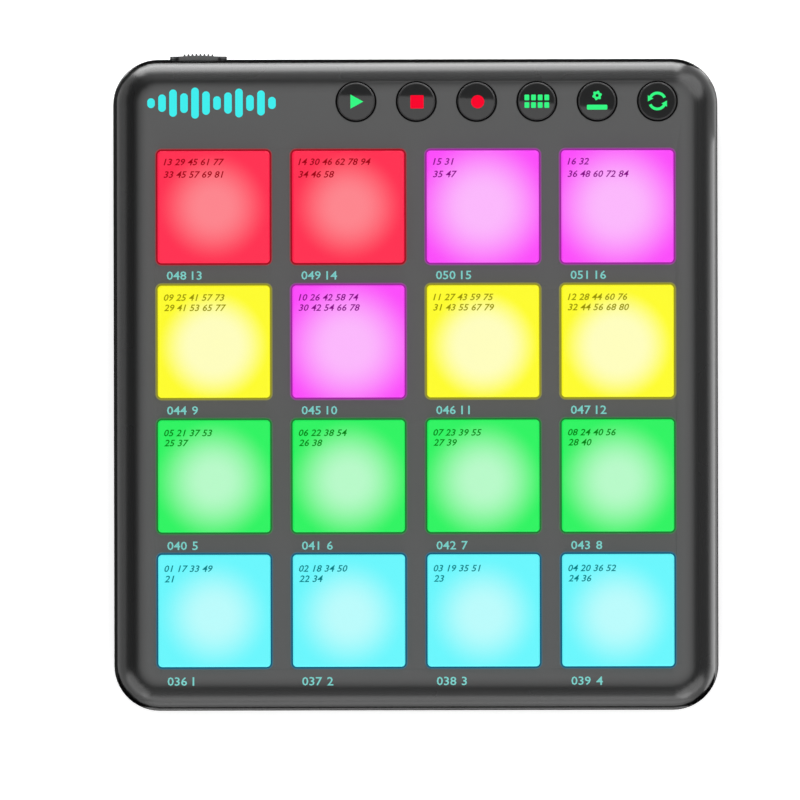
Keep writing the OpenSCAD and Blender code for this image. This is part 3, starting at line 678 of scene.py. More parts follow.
def at(radius, z):
    """A point of the profile: a radius from the axis and a height."""
    return key("ShaderNodeCombineXYZ", (), {0: radius - take["Corner"], 1: z * -1.0})


def line(first, second):
    return key("GeometryNodeCurvePrimitiveLine", (), {"Start": first, "End": second})


def join(parts):
    return key("GeometryNodeJoinGeometry", (), {0: parts})


def turned(profile):
    return key("GeometryNodeCurveToMesh", (), {"Curve": circle, "Profile Curve": profile})


def disc(radius, z):
    lift = key("ShaderNodeCombineXYZ", (), {2: z})
    sockets = {"Vertices": take["Segments"], "Radius": radius}
    flat = key("GeometryNodeMeshCircle", {"fill_type": "NGON"}, sockets)
    return key("GeometryNodeTransform", (), {"Geometry": flat, "Translation": lift})


def spread(geometry, amount):
    """Turns by half a step, so that no point lies on an axis, and pulls the four quarters apart."""
    turn = take["Segments"].math("DIVIDE", math.pi, take["Segments"])
    rotation = key("ShaderNodeCombineXYZ", (), {2: turn})
    rotated = key("GeometryNodeTransform", (), {"Geometry": geometry, "Rotation": rotation})
    place = key("GeometryNodeInputPosition")
    side = key("ShaderNodeVectorMath", {"operation": "SIGN"}, {0: place})
    plan_side = key("ShaderNodeVectorMath", {"operation": "MULTIPLY"}, {0: side, 1: PLAN})
    offset = key("ShaderNodeVectorMath", {"operation": "SCALE"}, {0: plan_side, "Scale": amount})
    return key("GeometryNodeSetPosition", (), {"Geometry": rotated, "Offset": offset})


print("profile helpers ready")

# %% [markdown]
# The outside goes from the rounded edge down the side and out over the flange. The underside goes from the
# flange's foot to a hollow for the lamp or a stem for the switch, depending on where its end lies. Its outer
# points spread as the outside does, and its inner ones by an amount of their own. The two are welded, the
# place of each point from the lamp is stored for the material, and the key is moved to its place.

# %% Key tree
EDGE_STEPS = 9
QUARTER = math.pi / 2
SEAM_WELD = 0.001 * MM

corner = take["Corner"]
edge = take["Edge"]
flange_r = corner + take["Flange"]
arc_sockets = {"Resolution": EDGE_STEPS, "Radius": edge, "Start Angle": -QUARTER, "Sweep Angle": QUARTER}
arc = key("GeometryNodeCurveArc", {"mode": "RADIUS"}, arc_sockets)
arc_move = key("ShaderNodeCombineXYZ", (), {0: -edge, 1: edge - take["Top"]})
rounding = key("GeometryNodeTransform", (), {"Geometry": arc, "Translation": arc_move})
upper = [
    rounding,
    line(at(corner, take["Top"] - edge), at(corner, take["Flange Top"])),
    line(at(corner, take["Flange Top"]), at(flange_r, take["Flange Top"])),
    line(at(flange_r, take["Flange Top"]), at(flange_r, take["Flange Foot"])),
]
cap = join([turned(join(upper)), disc(corner - edge, take["Top"])])
outside = spread(cap, take["Spread"])

under_r = take["Under Corner"]
lower = [
    line(at(flange_r, take["Flange Foot"]), at(under_r, take["Flange Foot"])),
    line(at(under_r, take["Flange Foot"]), at(under_r, take["Under End"])),
]
hollow = join([turned(join(lower)), disc(under_r, take["Under End"])])
place = key("GeometryNodeInputPosition")
flat_place = key("ShaderNodeVectorMath", {"operation": "MULTIPLY"}, {0: place, 1: PLAN})
radius = key("ShaderNodeVectorMath", {"operation": "LENGTH"}, {0: flat_place}, "Value")
outer = radius.math("GREATER_THAN", radius, (flange_r + under_r) / 2)
inside = spread(hollow, take["Under Spread"] + outer * (take["Spread"] - take["Under Spread"]))

both = join([outside, inside])
welded = key("GeometryNodeMergeByDistance", (), {"Geometry": both, "Distance": SEAM_WELD})
own_place = key("GeometryNodeInputPosition")
from_lamp = key("ShaderNodeVectorMath", {"operation": "SUBTRACT"}, {0: own_place, 1: take["Lamp"]})
plan_settings = {"data_type": "FLOAT_VECTOR", "domain": "POINT"}
plan_sockets = {"Geometry": welded, "Name": "pad_plan", "Value": from_lamp}
marked = key("GeometryNodeStoreNamedAttribute", plan_settings, plan_sockets)
placed = key("GeometryNodeTransform", (), {"Geometry": marked, "Translation": take["Middle"]})
real = key("GeometryNodeRealizeInstances", (), {"Geometry": placed})
dressed = key("GeometryNodeSetMaterial", (), {"Geometry": real, "Material": take["Material"]})
key_out = key_tree.nodes.new("NodeGroupOutput")
key_tree.links.new(dressed.out, key_out.inputs[0])
print("key tree nodes:", len(key_tree.nodes))

# %% [markdown]
# The tree is run once for each key, with that key's sizes, and the result is kept as a plain mesh. Two strips
# that meet in a seam may face different ways, so the normals are turned outwards afterwards.


# %% Run the tree
def baked(name, tree, values):
    """Runs a tree with these inputs on an empty mesh and keeps the result as a plain mesh."""
    source = link(bpy.data.meshes.new(name + "_source"), name + "_source")
    run = source.modifiers.new("tree", "NODES")
    run.node_group = tree
    for identifier, value in values.items():
        run[identifier] = value
    bpy.context.view_layer.update()
    graph = bpy.context.evaluated_depsgraph_get()
    mesh = bpy.data.meshes.new_from_object(source.evaluated_get(graph))
    mesh.name = name
    source.modifiers.remove(run)
    bpy.data.objects.remove(source)
    work = bmesh.new()
    work.from_mesh(mesh)
    bmesh.ops.recalc_face_normals(work, faces=work.faces)
    work.to_mesh(mesh)
    work.free()
    return mesh


def make_key(node, name, sizes, segments, lamp_drop=0.0):
    low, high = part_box(node)
    middle = (low + high) / 2
    values = {KEY_ID[size]: value for size, value in sizes.items()}
    values[KEY_ID["Middle"]] = (middle.x, middle.y, 0.0)
    values[KEY_ID["Lamp"]] = (0.0, -lamp_drop, 0.0)
    values[KEY_ID["Segments"]] = segments
    values[KEY_ID["Material"]] = slot_finish[node_slot[node]]
    piece = link(baked(name, key_tree, values), name)
    shade(piece)
    stand_in(piece, node)
    return piece


print("key maker ready")

# %% [markdown]
# The pads and the buttons take their places and heights from the boxes of their solids. Their edges, flanges
# and undersides are the solids' own too, but a box doesn't show them, so their sizes are written here.

# %% Pads and buttons
PAD_CORNER = 1.05 * MM
PAD_SEGMENTS = 40
FLANGE_Z = pad_box["pad_01"][0].z
PAD_TOP = pad_box["pad_01"][1].z
CHAMBER_HALF = 12.4 * MM
pad_sizes = {
    "Corner": PAD_CORNER,
    "Spread": PAD_HALF - PAD_CORNER,
    "Edge": 0.6 * MM,
    "Top": PAD_TOP,
    "Flange": 1.4 * MM,
    "Flange Top": FLANGE_Z + 1.2 * MM,
    "Flange Foot": FLANGE_Z,
    "Under Corner": PAD_CORNER,
    "Under Spread": CHAMBER_HALF - PAD_CORNER,
    "Under End": PAD_TOP - 2.2 * MM,
}
LAMP_DROP = 1.2 * MM
FRONT_PADS = 3 * ROW
lamp_drops = [LAMP_DROP] * FRONT_PADS + [0.0] * ROW
pad_pieces = {}
for pad, drop in zip(PADS, lamp_drops):
    pad_pieces[pad] = make_key(pad, pad + "_silicone", pad_sizes, PAD_SEGMENTS, drop)

BUTTONS = ["button_play", "button_stop", "button_record", "button_bank", "button_shift", "button_repeat"]
CAP_R = 5.0 * MM
CAP_SEGMENTS = 96
BUTTON_FLANGE_Z = 18.7 * MM
button_sizes = {
    "Corner": CAP_R,
    "Spread": 0.0,
    "Edge": 0.4 * MM,
    "Top": CAP_TOP,
    "Flange": 1.2 * MM,
    "Flange Top": BUTTON_FLANGE_Z + 1.0 * MM,
    "Flange Foot": BUTTON_FLANGE_Z,
    "Under Corner": 2.6 * MM,
    "Under Spread": 0.0,
    "Under End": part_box("button_play")[0].z,
}
button_pieces = {node: make_key(node, node + "_cap", button_sizes, CAP_SEGMENTS) for node in BUTTONS}
print("pads:", len(pad_pieces), "faces each:", len(pad_pieces["pad_01"].data.polygons))
print("buttons:", len(button_pieces), "faces each:", len(button_pieces["button_play"].data.polygons))

# %% [markdown]
# ## Springs under the keys
# A soft ring under each pad and a silicone dome under each button push the key back up. In CAD the rings are
# one solid and the domes another, so they couldn't give way under one key alone. Here each key gets its own
# share, cut out of a copy of the solid by four walls round the key. How far the key's travel would flatten
# the share is worked out, but nothing flattens it.


# %% Springs
def spring(node, key_node, name, cell):
    """The share of a soft solid that lies under one key."""
    key_low, key_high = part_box(key_node)
    middle = (key_low + key_high) / 2
    work = bmesh.new()
    work.from_mesh(frame["nodes"][node].data)
    bmesh.ops.remove_doubles(work, verts=work.verts, dist=WELD)
    for side in ((1, 0, 0), (-1, 0, 0), (0, 1, 0), (0, -1, 0)):
        everything = work.verts[:] + work.edges[:] + work.faces[:]
        wall = middle + Vector(side) * cell
        bmesh.ops.bisect_plane(work, geom=everything, plane_co=wall, plane_no=side, clear_outer=True)
    bmesh.ops.holes_fill(work, edges=[edge for edge in work.edges if edge.is_boundary], sides=0)
    mesh = frame["nodes"][node].data.copy()
    mesh.name = name
    work.to_mesh(mesh)
    work.free()
    piece = link(mesh, name)
    shade(piece)
    stand_in(piece, node)
    low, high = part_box(node)
    travel = joint_range[key_node + "_press"][1]
    keep = 1 - travel / (high.z - low.z)
    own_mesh(piece)
    return piece


joint_range = {joint["name"]: joint["range_m"] for joint in frame["record"]["behaviour"]["joints"]}
PAD_CELL = (pad_middle["pad_02"].x - pad_middle["pad_01"].x) / 2
BUTTON_CELL = (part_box("button_stop")[0].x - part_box("button_play")[0].x) / 2
springs = [spring("pad_return_rings", pad, pad + "_ring", PAD_CELL) for pad in PADS]
springs += [spring("button_dome_mat", button, button + "_dome", BUTTON_CELL) for button in BUTTONS]
open_edges = sum(len(piece.data.edges) * 2 - len(piece.data.loops) for piece in springs)
print("springs:", len(springs), "open edges:", open_edges)

# %% [markdown]
# ## Legends
# The printed signs are thin plates of ink that lie on the surface that carries them. Flat outlines become
# such plates by lifting a copy and closing the sides.

# %% Plate helpers
INK_UP = 0.03 * MM
INK_DOWN = 0.02 * MM
INK_WELD = 0.0002 * MM


def plate(outlines, z):
    """Closed plates from flat outlines, each a list of points that runs anticlockwise."""
    work = bmesh.new()
    for points in outlines:
        rings = []
        for height in (z - INK_DOWN, z + INK_UP):
            rings.append([work.verts.new((x, y, height)) for x, y in points])
        low, high = rings
        work.faces.new(high)
        work.faces.new(low[::-1])
        for k in range(len(points)):
            after = (k + 1) % len(points)
            work.faces.new((low[k], low[after], high[after], high[k]))
    return work


def bar(x, y, width, height, corner, steps=5):
    """The outline of an upright rectangle with rounded corners, from its middle."""
    points = []
    for quarter, (sx, sy) in enumerate(((1, 1), (-1, 1), (-1, -1), (1, -1))):
        centre_x = x + sx * (width / 2 - corner)
        centre_y = y + sy * (height / 2 - corner)
        for step in range(steps + 1):
            angle = (quarter + step / steps) * math.pi / 2
            points.append((centre_x + corner * math.cos(angle), centre_y + corner * math.sin(angle)))
    return points


print("plate helpers ready")

# %% [markdown]
# Numbers are set in Blender's own plain typeface. A number is made a mesh first, scaled to its height in
# millimetres, and then moved to its place. Numbers that belong together are joined into one mesh.


# %% Number helpers
def number_mesh(text, height, slant, weight, stretch):
    """A number as a thin closed mesh with its lower left corner at the origin."""
    curve = bpy.data.curves.new("number", "FONT")
    curve.body = text
    curve.shear = slant
    curve.resolution_u = 2
    curve.offset = weight
    curve.extrude = (INK_UP + INK_DOWN) / 2 / height
    source = link(curve, "number_source")
    bpy.context.view_layer.update()
    graph = bpy.context.evaluated_depsgraph_get()
    mesh = bpy.data.meshes.new_from_object(source.evaluated_get(graph))
    bpy.data.objects.remove(source)
    spots = np.array([v.co for v in mesh.vertices])
    low, high = spots.min(0), spots.max(0)
    scale = height / (high[1] - low[1])
    mesh.transform(Matrix.Translation((-low[0], -low[1], 0.0)))
    mesh.transform(Matrix.Diagonal((scale * stretch, scale, height, 1.0)))
    return mesh, (high[0] - low[0]) * scale * stretch


def add_number(work, text, x, y, z, style):
    """Adds a number to a plate under way and returns its width."""
    mesh, width = number_mesh(text, **style)
    mesh.transform(Matrix.Translation((x, y, z + (INK_UP - INK_DOWN) / 2)))
    work.from_mesh(mesh)
    return width


def ink_piece(work, name, material, body, slot):
    """Ends a plate: one closed mesh that rides on a body."""
    mesh = bpy.data.meshes.new(name)
    bmesh.ops.remove_doubles(work, verts=work.verts, dist=INK_WELD)
    bmesh.ops.recalc_face_normals(work, faces=work.faces)
    work.to_mesh(mesh)
    work.free()
    mesh.materials.append(material)
    piece = link(mesh, name)
    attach(piece, body)


print("number helpers ready")

# %% [markdown]
# ## Numbers and sign on the face
# Under each pad stand the note that it plays and its own number, in pale teal ink. The teal sign on the left
# of the deck is a row of rounded level bars. No lamp stands behind this ink, so the part of its colour that
# glows is painted light.

# %% Face ink
# Painted light: the teal ink on the face glows, though no lamp stands behind it.
FACE_TEAL = legend_ink("teal_ink", linear(128, 210, 204), 0.35)
SIGN_TEAL = legend_ink("sign_ink", linear(64, 240, 240), 0.55)
FIRST_NOTE = 36
LABEL_HEIGHT = 2.25 * MM
LABEL_STYLE = {"height": LABEL_HEIGHT, "slant": 0.0, "weight": 0.01, "stretch": 1.14}
LABEL_IN = 2.4 * MM
LABEL_STEP = 6.6 * MM
LABEL_DROPS = (3.8 * MM, 3.52 * MM, 3.33 * MM, 3.24 * MM)

labels = bmesh.new()
for k, pad in enumerate(PADS):
    x = pad_middle[pad].x - PAD_HALF + LABEL_IN
    y = pad_middle[pad].y - PAD_HALF - LABEL_DROPS[k // ROW] - LABEL_HEIGHT / 2
    note_width = add_number(labels, f"{FIRST_NOTE + k:03d}", x, y, FACE_Z, LABEL_STYLE)
    add_number(labels, str(k + 1), x + LABEL_STEP, y, FACE_Z, LABEL_STYLE)
ink_piece(labels, "pad_numbers", FACE_TEAL, "housing", "shell_plastic")

BAR_W = 2.0 * MM
BAR_CORNER = BAR_W / 2 - 0.01 * MM
BAR_STEPS = 8
BAR_PITCH = 2.9 * MM
BAR_X = -69.7 * MM
BAR_Y = 74.4 * MM
LEVELS = (2.6, 4.6, 7.2, 5.2, 8.2, 6.2, 3.6, 5.6, 7.6, 4.2, 6.6, 3.2)
sign = []
for k, level in enumerate(LEVELS):
    sign.append(bar(BAR_X + k * BAR_PITCH, BAR_Y, BAR_W, level * MM, BAR_CORNER, BAR_STEPS))
ink_piece(plate(sign, FACE_Z), "level_sign", SIGN_TEAL, "housing", "shell_plastic")
print("labels:", len(PADS), "width in mm:", round(note_width / MM, 2), "level bars:", len(sign))

# %% [markdown]
# ## Numbers on the pads
# On each pad are two slanted lines of plain numbers in a darker tone of its own colour. The lines differ in
# length from pad to pad, so a pair of counts says how many numbers stand in each. Row by row, a second pair
# says how many millimetres the lines lie below the far side of the pad.

# %% Pad legends
LEGEND_STYLE = {"height": 1.8 * MM, "slant": 0.25, "weight": 0.014, "stretch": 1.08}
LEGEND_IN = 1.65 * MM
LEGEND_LINES = ((4.55, 7.25), (4.25, 6.9), (4.05, 6.75), (3.8, 7.1))
LEGEND_COUNTS = [(4, 1), (4, 2), (4, 1), (4, 2)] + [(4, 2)] * 4 + [(5, 5)] * 5 + [(6, 3), (2, 2), (2, 5)]
LEGEND_TONE = {
    "pad_cyan": (0, 132, 140),
    "pad_green": (0, 136, 20),
    "pad_yellow": (156, 150, 0),
    "pad_magenta": (138, 10, 140),
    "pad_red": (162, 0, 20),
}
UPPER_STEP = 16
LOWER_FIRST = 20
LOWER_STEP = 12
legend_finish = {slot: legend_ink(slot + "_ink", linear(*rgb), 0.5) for slot, rgb in LEGEND_TONE.items()}


def number_line(first, step, count):
    return " ".join(f"{first + step * k:02d}" for k in range(count))


for number, (pad, counts) in enumerate(zip(PADS, LEGEND_COUNTS), 1):
    slot = node_slot[pad]
    upper_line = number_line(number, UPPER_STEP, counts[0])
    lower_line = number_line(number + LOWER_FIRST, LOWER_STEP, counts[1])
    work = bmesh.new()
    for text, drop in zip((upper_line, lower_line), LEGEND_LINES[(number - 1) // ROW]):
        x = pad_middle[pad].x - PAD_HALF + LEGEND_IN
        y = pad_middle[pad].y + PAD_HALF - drop * MM
        add_number(work, text, x, y, PAD_TOP, LEGEND_STYLE)
    ink_piece(work, pad + "_legend", legend_finish[slot], pad, slot)
print("pad legends:", len(PADS))

# %% [markdown]
# ## Signs on the buttons
# The first three buttons carry the signs that every recorder has: a triangle, a square and a disc. The others
# get plain signs of their own: two rows of small pads, a cog over a bar, and a loop of two arrows. They are
# windows that a green or a red lamp lights from below.


# %% Sign helpers
def polygon(x, y, radius, sides):
    angles = [2 * math.pi * k / sides for k in range(sides)]
    return [(x + radius * math.cos(a), y + radius * math.sin(a)) for a in angles]


def cog(x, y, radius, bore, teeth=6, tooth=0.14, steps=24):
    """A cog in two halves: round teeth as a wave on a circle, and a round bore."""
    halves = []
    for start in (0.0, math.pi):
        angles = [start + math.pi * k / steps for k in range(steps + 1)]
        waves = [radius * (1 + tooth * math.sin(teeth * a)) for a in angles]
        rim = [(x + w * math.cos(a), y + w * math.sin(a)) for a, w in zip(angles, waves)]
        hole = [(x + bore * math.cos(a), y + bore * math.sin(a)) for a in reversed(angles)]
        halves.append(rim + hole)
    return halves


def loop_band(x, y, radius, width, start, sweep, steps=24):
    """A part of a ring."""
    angles = [math.radians(start + sweep * k / steps) for k in range(steps + 1)]
    outer = [(x + (radius + width / 2) * math.cos(a), y + (radius + width / 2) * math.sin(a)) for a in angles]
    inner = [(x + (radius - width / 2) * math.cos(a), y + (radius - width / 2) * math.sin(a)) for a in angles]
    return outer + inner[::-1]


def arrow_tip(x, y, radius, angle, size):
    """A triangle on a ring that points the way the ring runs, wider than it is long by a fifth."""
    a = math.radians(angle)
    half = 0.6 * size
    base_x = x + radius * math.cos(a)
    base_y = y + radius * math.sin(a)
    tip = (base_x - size * math.sin(a), base_y + size * math.cos(a))
    outer = (base_x + half * math.cos(a), base_y + half * math.sin(a))
    inner = (base_x - half * math.cos(a), base_y - half * math.sin(a))
    return [outer, tip, inner]


print("sign helpers ready")

# %% [markdown]
# Each sign below is written round the middle of its button. The square and the disc stand a little off the
# middle. Where a value holds three sizes, they are a width, a height and a corner.

# %% Button signs
PLAY_BACK = 1.45 * MM
PLAY_TIP = 1.95 * MM
PLAY_HALF = 1.85 * MM
STOP_SIDE = 3.5 * MM
STOP_CORNER = 0.25 * MM
STOP_OFF = 0.2 * MM
RECORD_R = 1.74 * MM
RECORD_SIDES = 48
RECORD_OFF = 0.3 * MM
SIGN_DROP = 0.1 * MM
TILE = (1.25 * MM, 1.5 * MM, 0.2 * MM)
TILE_COLUMNS = 4
TILE_ROWS = 2
TILE_STEP_X = 1.75 * MM
TILE_STEP_Y = 2.0 * MM
COG_RISE = 1.5 * MM
COG_R = 1.15 * MM
COG_BORE = 0.4 * MM
SHIFT_DROP = 1.6 * MM
SHIFT_BAR = (5.4 * MM, 1.3 * MM, 0.3 * MM)
LOOP_R = 2.1 * MM
LOOP_W = 0.75 * MM
LOOP_SWEEP = 125
LOOP_START = 25
ARROW_AT = 149
ARROW = 1.4 * MM
HALF_TURN = 180


def button_signs(x, y):
    """The outlines of each button's sign round its middle."""
    tiles = []
    for column in range(TILE_COLUMNS):
        for row in range(TILE_ROWS):
            tile_x = x + (column - (TILE_COLUMNS - 1) / 2) * TILE_STEP_X
            tile_y = y + (row - (TILE_ROWS - 1) / 2) * TILE_STEP_Y
            tiles.append(bar(tile_x, tile_y, *TILE))
    turn = [loop_band(x, y, LOOP_R, LOOP_W, LOOP_START + half, LOOP_SWEEP) for half in (0, HALF_TURN)]
    turn += [arrow_tip(x, y, LOOP_R, ARROW_AT + half, ARROW) for half in (0, HALF_TURN)]
    return {
        "button_play": [[(x - PLAY_BACK, y - PLAY_HALF), (x + PLAY_TIP, y), (x - PLAY_BACK, y + PLAY_HALF)]],
        "button_stop": [bar(x + STOP_OFF, y - SIGN_DROP, STOP_SIDE, STOP_SIDE, STOP_CORNER)],
        "button_record": [polygon(x + RECORD_OFF, y - SIGN_DROP, RECORD_R, RECORD_SIDES)],
        "button_bank": tiles,
        "button_shift": cog(x, y + COG_RISE, COG_R, COG_BORE) + [bar(x, y - SHIFT_DROP, *SHIFT_BAR)],
        "button_repeat": turn,
    }


LAMP_GREEN = legend_ink("lamp_green", linear(52, 250, 132), 0.8)
LAMP_RED = legend_ink("lamp_red", linear(252, 0, 44), 0.8)
RED_SIGNS = ("button_stop", "button_record")
for node in BUTTONS:
    low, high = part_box(node)
    middle = (low + high) / 2
    outlines = button_signs(middle.x, middle.y)[node]
    lamp = LAMP_RED if node in RED_SIGNS else LAMP_GREEN
    ink_piece(plate(outlines, CAP_TOP), node + "_sign", lamp, node, "button_gloss")
print("button signs:", len(BUTTONS))

# %% [markdown]
# ## Floor and world
# The floor is plain and white. It keeps the soft shadow of the object, and it adds a little light of its own
# for the camera and for mirrors, so that the ground of the picture is white. Far off it adds more, because
# the lamps don't reach there.

# %% Floor and world
FLOOR_HALF = 8.0
FLOOR_Z = -0.05 * MM
FLOOR_WHITE = (0.9, 0.9, 0.9, 1.0)
FLOOR_LIFT = 0.42
FAR_LIFT = 1.0
FAR_START = 0.4
FAR_END = 2.0
WORLD_LEVEL = 0.14

floor_mesh = bpy.data.meshes.new("floor")
floor_points = [(-FLOOR_HALF, -FLOOR_HALF, FLOOR_Z), (FLOOR_HALF, -FLOOR_HALF, FLOOR_Z)]
floor_points += [(FLOOR_HALF, FLOOR_HALF, FLOOR_Z), (-FLOOR_HALF, FLOOR_HALF, FLOOR_Z)]
floor_mesh.from_pydata(floor_points, [], [(0, 1, 2, 3)])
floor = link(floor_mesh, "floor")

floor_finish = bpy.data.materials.new("floor_white")
floor_finish.use_nodes = True
floor_tree = floor_finish.node_tree
floor_tree.nodes.remove(floor_tree.nodes["Principled BSDF"])
rays = Sock.new(floor_tree, "ShaderNodeLightPath", out="Is Camera Ray")
seen = rays.math("ADD", rays + rays.other("Is Glossy Ray"), rays.other("Is Transmission Ray"), True)
floor_place = Sock.new(floor_tree, "ShaderNodeTexCoord", out="Object")
floor_away = Sock.new(floor_tree, "ShaderNodeVectorMath", {"operation": "LENGTH"}, {0: floor_place}, "Value")
far_off = floor_away.smooth(FAR_START, FAR_END)
matt = Sock.new(floor_tree, "ShaderNodeBsdfDiffuse", (), {"Color": FLOOR_WHITE})
floor_glow = seen * (FLOOR_LIFT + (FAR_LIFT - FLOOR_LIFT) * far_off)
lifted = Sock.new(floor_tree, "ShaderNodeEmission", (), {"Strength": floor_glow})
floor_shader = Sock.new(floor_tree, "ShaderNodeAddShader", (), {0: matt, 1: lifted})
floor_tree.links.new(floor_shader.out, floor_tree.nodes["Material Output"].inputs["Surface"])
floor_mesh.materials.append(floor_finish)

world = bpy.data.worlds.new("studio")
world.use_nodes = True
background = world.node_tree.nodes["Background"]
background.inputs["Color"].default_value = (1, 1, 1, 1)
background.inputs["Strength"].default_value = WORLD_LEVEL
bpy.context.scene.world = world
print("floor and world ready")

# %% [markdown]
# ## Lamps
# A large round lamp hangs over the object and makes the face grey. Strips behind it, to its right and in
# front of it are low and close, and larger panels stand further off on all four sides. They draw a line of
# light along the rounded edge. Nothing hangs between them and the overhead lamp, which leaves the dark band
# inside that line. Three more panels light the rounded corners. They show only as gloss, so they hardly
# change the tone of the face. Lamp sizes and places are in metres, and a level is the radiance that a mirror
# would show.

# %% Lamps
STRIP_Z = 0.001
STRIP_AIM = 0.1
REAR_Y = top_high.y
SIDE_X = top_high.x
REAR_X = -0.0095
REAR_SPAN = 0.177
DESK = (0, 0, 0)
OBJECT = (0, 0, 0.02)


def panel(name, middle, aim, size, level, shape="RECTANGLE"):
    """An area lamp of this radiance, from its middle towards a point."""
    width, height = size
    data = bpy.data.lights.new(name, "AREA")
    data.shape = shape
    data.size = width
    data.size_y = height
    area = math.pi * width * height / 4 if shape in ("DISK", "ELLIPSE") else width * height
    data.energy = level * math.pi * area
    lamp = link(data, name)
    lamp.location = middle
    lamp.rotation_euler = (Vector(aim) - Vector(middle)).to_track_quat("-Z", "Y").to_euler()
    lamp.visible_camera = False
    return lamp


def floor_strip(name, x, y, size, level):
    """A strip that lies just over the floor and shines straight up."""
    panel(name, (x, y, STRIP_Z), (x, y, STRIP_AIM), size, level)


panel("overhead", middle=(0, 0, 2.5), aim=DESK, size=(2.9, 2.9), level=2.64, shape="DISK")
rear_middle = (REAR_X, REAR_Y + 0.032, 0.0145)
panel("rear_strip", rear_middle, aim=(REAR_X, REAR_Y, 0.0345), size=(REAR_SPAN, 0.026), level=8.9)
floor_strip("rear_floor", x=REAR_X, y=REAR_Y + 0.0285, size=(REAR_SPAN, 0.021), level=3.5)
panel("rear_panel", middle=(0, 1.0, 0.45), aim=DESK, size=(1.2, 0.6), level=1.2)
floor_strip("right_strip", x=SIDE_X + 0.044, y=-0.0175, size=(0.058, 0.165), level=2.9)
panel("right_panel", middle=(1.0, 0, 0.45), aim=DESK, size=(1.2, 0.8), level=0.3)
floor_strip("front_strip", x=0.005, y=-REAR_Y - 0.09, size=(0.19, 0.1), level=1.9)
panel("front_panel", middle=(0, -1.0, 0.15), aim=OBJECT, size=(1.2, 0.3), level=4.2)
panel("front_high", middle=(0, -1.0, 0.6), aim=OBJECT, size=(1.2, 0.6), level=0.8)
panel("left_panel", middle=(-1.0, 0, 0.1), aim=OBJECT, size=(1.2, 0.2), level=1.4)

corner_panels = {
    "rear_right_corner": {"middle": (0.72, 0.72, 0.55), "size": (1.1, 1.3), "level": 4.8},
    "front_right_corner": {"middle": (0.62, -0.8, 0.3), "size": (1.1, 0.8), "level": 4.5},
    "front_left_corner": {"middle": (-0.76, -0.68, 0.3), "size": (1.0, 0.8), "level": 4.1},
}
for name, values in corner_panels.items():
    lamp = panel(name, aim=OBJECT, shape="ELLIPSE", **values)
    lamp.visible_diffuse = False

# %% [markdown]
# ## A black card
# A small black card under the overhead lamp shows in the polished caps as the edge between a dark and a light
# part. Its lower side follows a flat ellipse and ends straight. The outline is written in the millimetres of
# the mirror image, as the camera sees it on the level of the caps, and scaled up to the card's own height.

# %% Black card
CARD_RISE = 1.0
CARD_LEFT = -24.0
CARD_MIDDLE = -20.0
CARD_SPAN = 92.0
CARD_TAIL = 8.0
CARD_LOW = 71.0
CARD_BEND = 9.4
CARD_HIGH = 88.0
CARD_STEPS = 24
card_scale = MM * (1 + (CARD_RISE - CAP_TOP) / (FACE_Z + CAMERA_RISE - CAP_TOP))
bend_right = CARD_MIDDLE + CARD_SPAN
card_points = []
for k in range(CARD_STEPS + 1):
    x = CARD_LEFT + (bend_right - CARD_LEFT) * k / CARD_STEPS
    fall = math.sqrt(max(0.0, 1 - ((x - CARD_MIDDLE) / CARD_SPAN) ** 2))
    card_points.append((x, CARD_LOW + CARD_BEND * fall))
card_right = bend_right + CARD_TAIL
card_points += [(card_right, CARD_LOW), (card_right, CARD_HIGH), (CARD_LEFT, CARD_HIGH)]
card_mesh = bpy.data.meshes.new("black_card")
card_corners = [(VIEW_X + x * card_scale, VIEW_Y + y * card_scale, CARD_RISE) for x, y in card_points]
card_mesh.from_pydata(card_corners, [], [tuple(range(len(card_corners)))])
card = link(card_mesh, "black_card")
card.visible_camera = False
card_mesh.materials.append(slot_finish["black_plastic"])
print("card corners:", len(card_corners))

# %% [markdown]
# ## Painted shade on the floor
# The lowest part of the rounded edge mirrors the floor right beside it, and a white floor would draw a pale
# line round the outline. Strips in three tones lie there and stand for the shade of the floor beside the
# object: they are painted shade. They show only in gloss: the camera, the soft light and the shadow pass
# through them. Each lies a little higher than the one before it, so that none shares a plane with another.

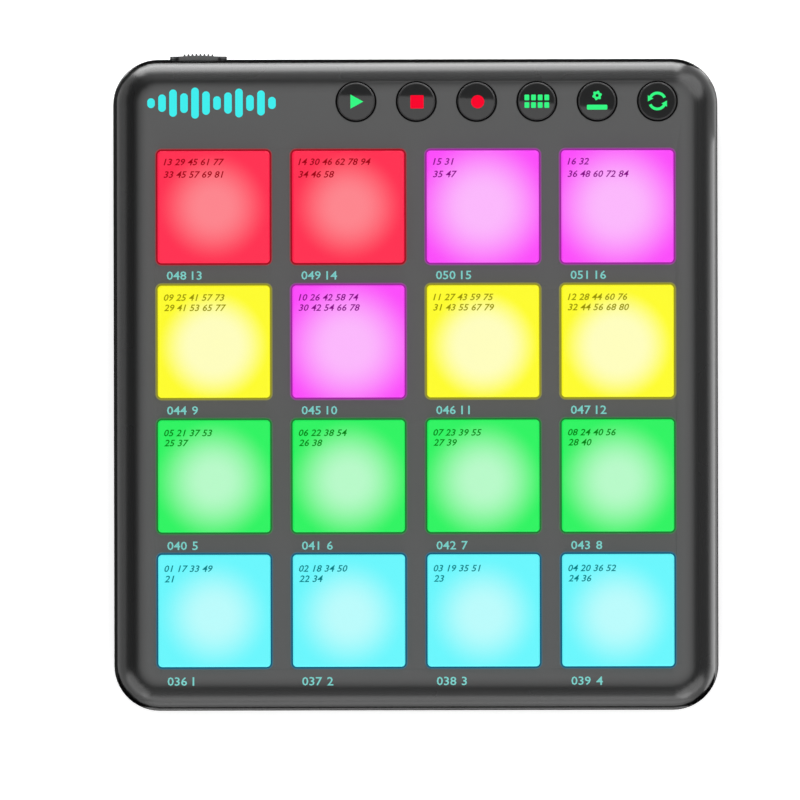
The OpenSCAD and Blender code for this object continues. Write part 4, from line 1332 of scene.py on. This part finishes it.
# %% Felt strips
# Painted shade: the tones of the strips that stand for the floor's shade beside the object.
FLOOR_SHADE = {"grey": 0.5, "dark": 0.06, "black": 0.002}
FLOOR_SHADE_ROUGHNESS = 0.95
FLOOR_SHADE_RISE = 0.05 * MM
FLOOR_SHADE_LEFT = 0.018
FLOOR_SHADE_REAR = 0.018
FLOOR_SHADE_RIGHT = 0.009
FLOOR_SHADE_FRONT = 0.011
FLOOR_SHADE_FRONT_END = 0.02
CORNER_IN = 0.006
CORNER_OUT = 0.02
strips = [
    ("grey", SIDE_X, SIDE_X + FLOOR_SHADE_RIGHT, -REAR_Y, REAR_Y),
    ("grey", -SIDE_X, SIDE_X, -REAR_Y - FLOOR_SHADE_FRONT, -REAR_Y),
    ("dark", -SIDE_X - FLOOR_SHADE_LEFT, -SIDE_X, -REAR_Y, REAR_Y + FLOOR_SHADE_REAR),
    ("black", -SIDE_X, SIDE_X, REAR_Y, REAR_Y + FLOOR_SHADE_REAR),
    ("dark", -SIDE_X, SIDE_X, -REAR_Y - FLOOR_SHADE_FRONT_END, -REAR_Y - FLOOR_SHADE_FRONT),
    ("black", SIDE_X - CORNER_IN, SIDE_X + CORNER_OUT, -REAR_Y - CORNER_OUT, -REAR_Y + CORNER_IN),
    ("black", -SIDE_X - CORNER_OUT, -SIDE_X + CORNER_IN, -REAR_Y - CORNER_OUT, -REAR_Y + CORNER_IN),
]
shade_tone_points = []
shade_tone_index = []
for k, (shade_tone, x0, x1, y0, y1) in enumerate(strips, 1):
    shade_tone_points += [(x, y, k * FLOOR_SHADE_RISE) for x, y in ((x0, y0), (x1, y0), (x1, y1), (x0, y1))]
    shade_tone_index.append(list(FLOOR_SHADE).index(shade_tone))
shade_tone_mesh = bpy.data.meshes.new("floor_shade_apron")
shade_tone_mesh.from_pydata(shade_tone_points, [], [tuple(range(4 * k, 4 * k + 4)) for k in range(len(strips))])
for shade_tone, grey in FLOOR_SHADE.items():
    shade_tone_colour = (grey, grey, grey, 1.0)
    shade_tone_mesh.materials.append(moulded(shade_tone + "_felt", shade_tone_colour, FLOOR_SHADE_ROUGHNESS, Specular_IOR_Level=0.0))
shade_tone_mesh.polygons.foreach_set("material_index", shade_tone_index)
apron = link(shade_tone_mesh, "floor_shade_apron")
apron.visible_camera = False
apron.visible_diffuse = False
apron.visible_shadow = False
print("felt strips:", len(strips))
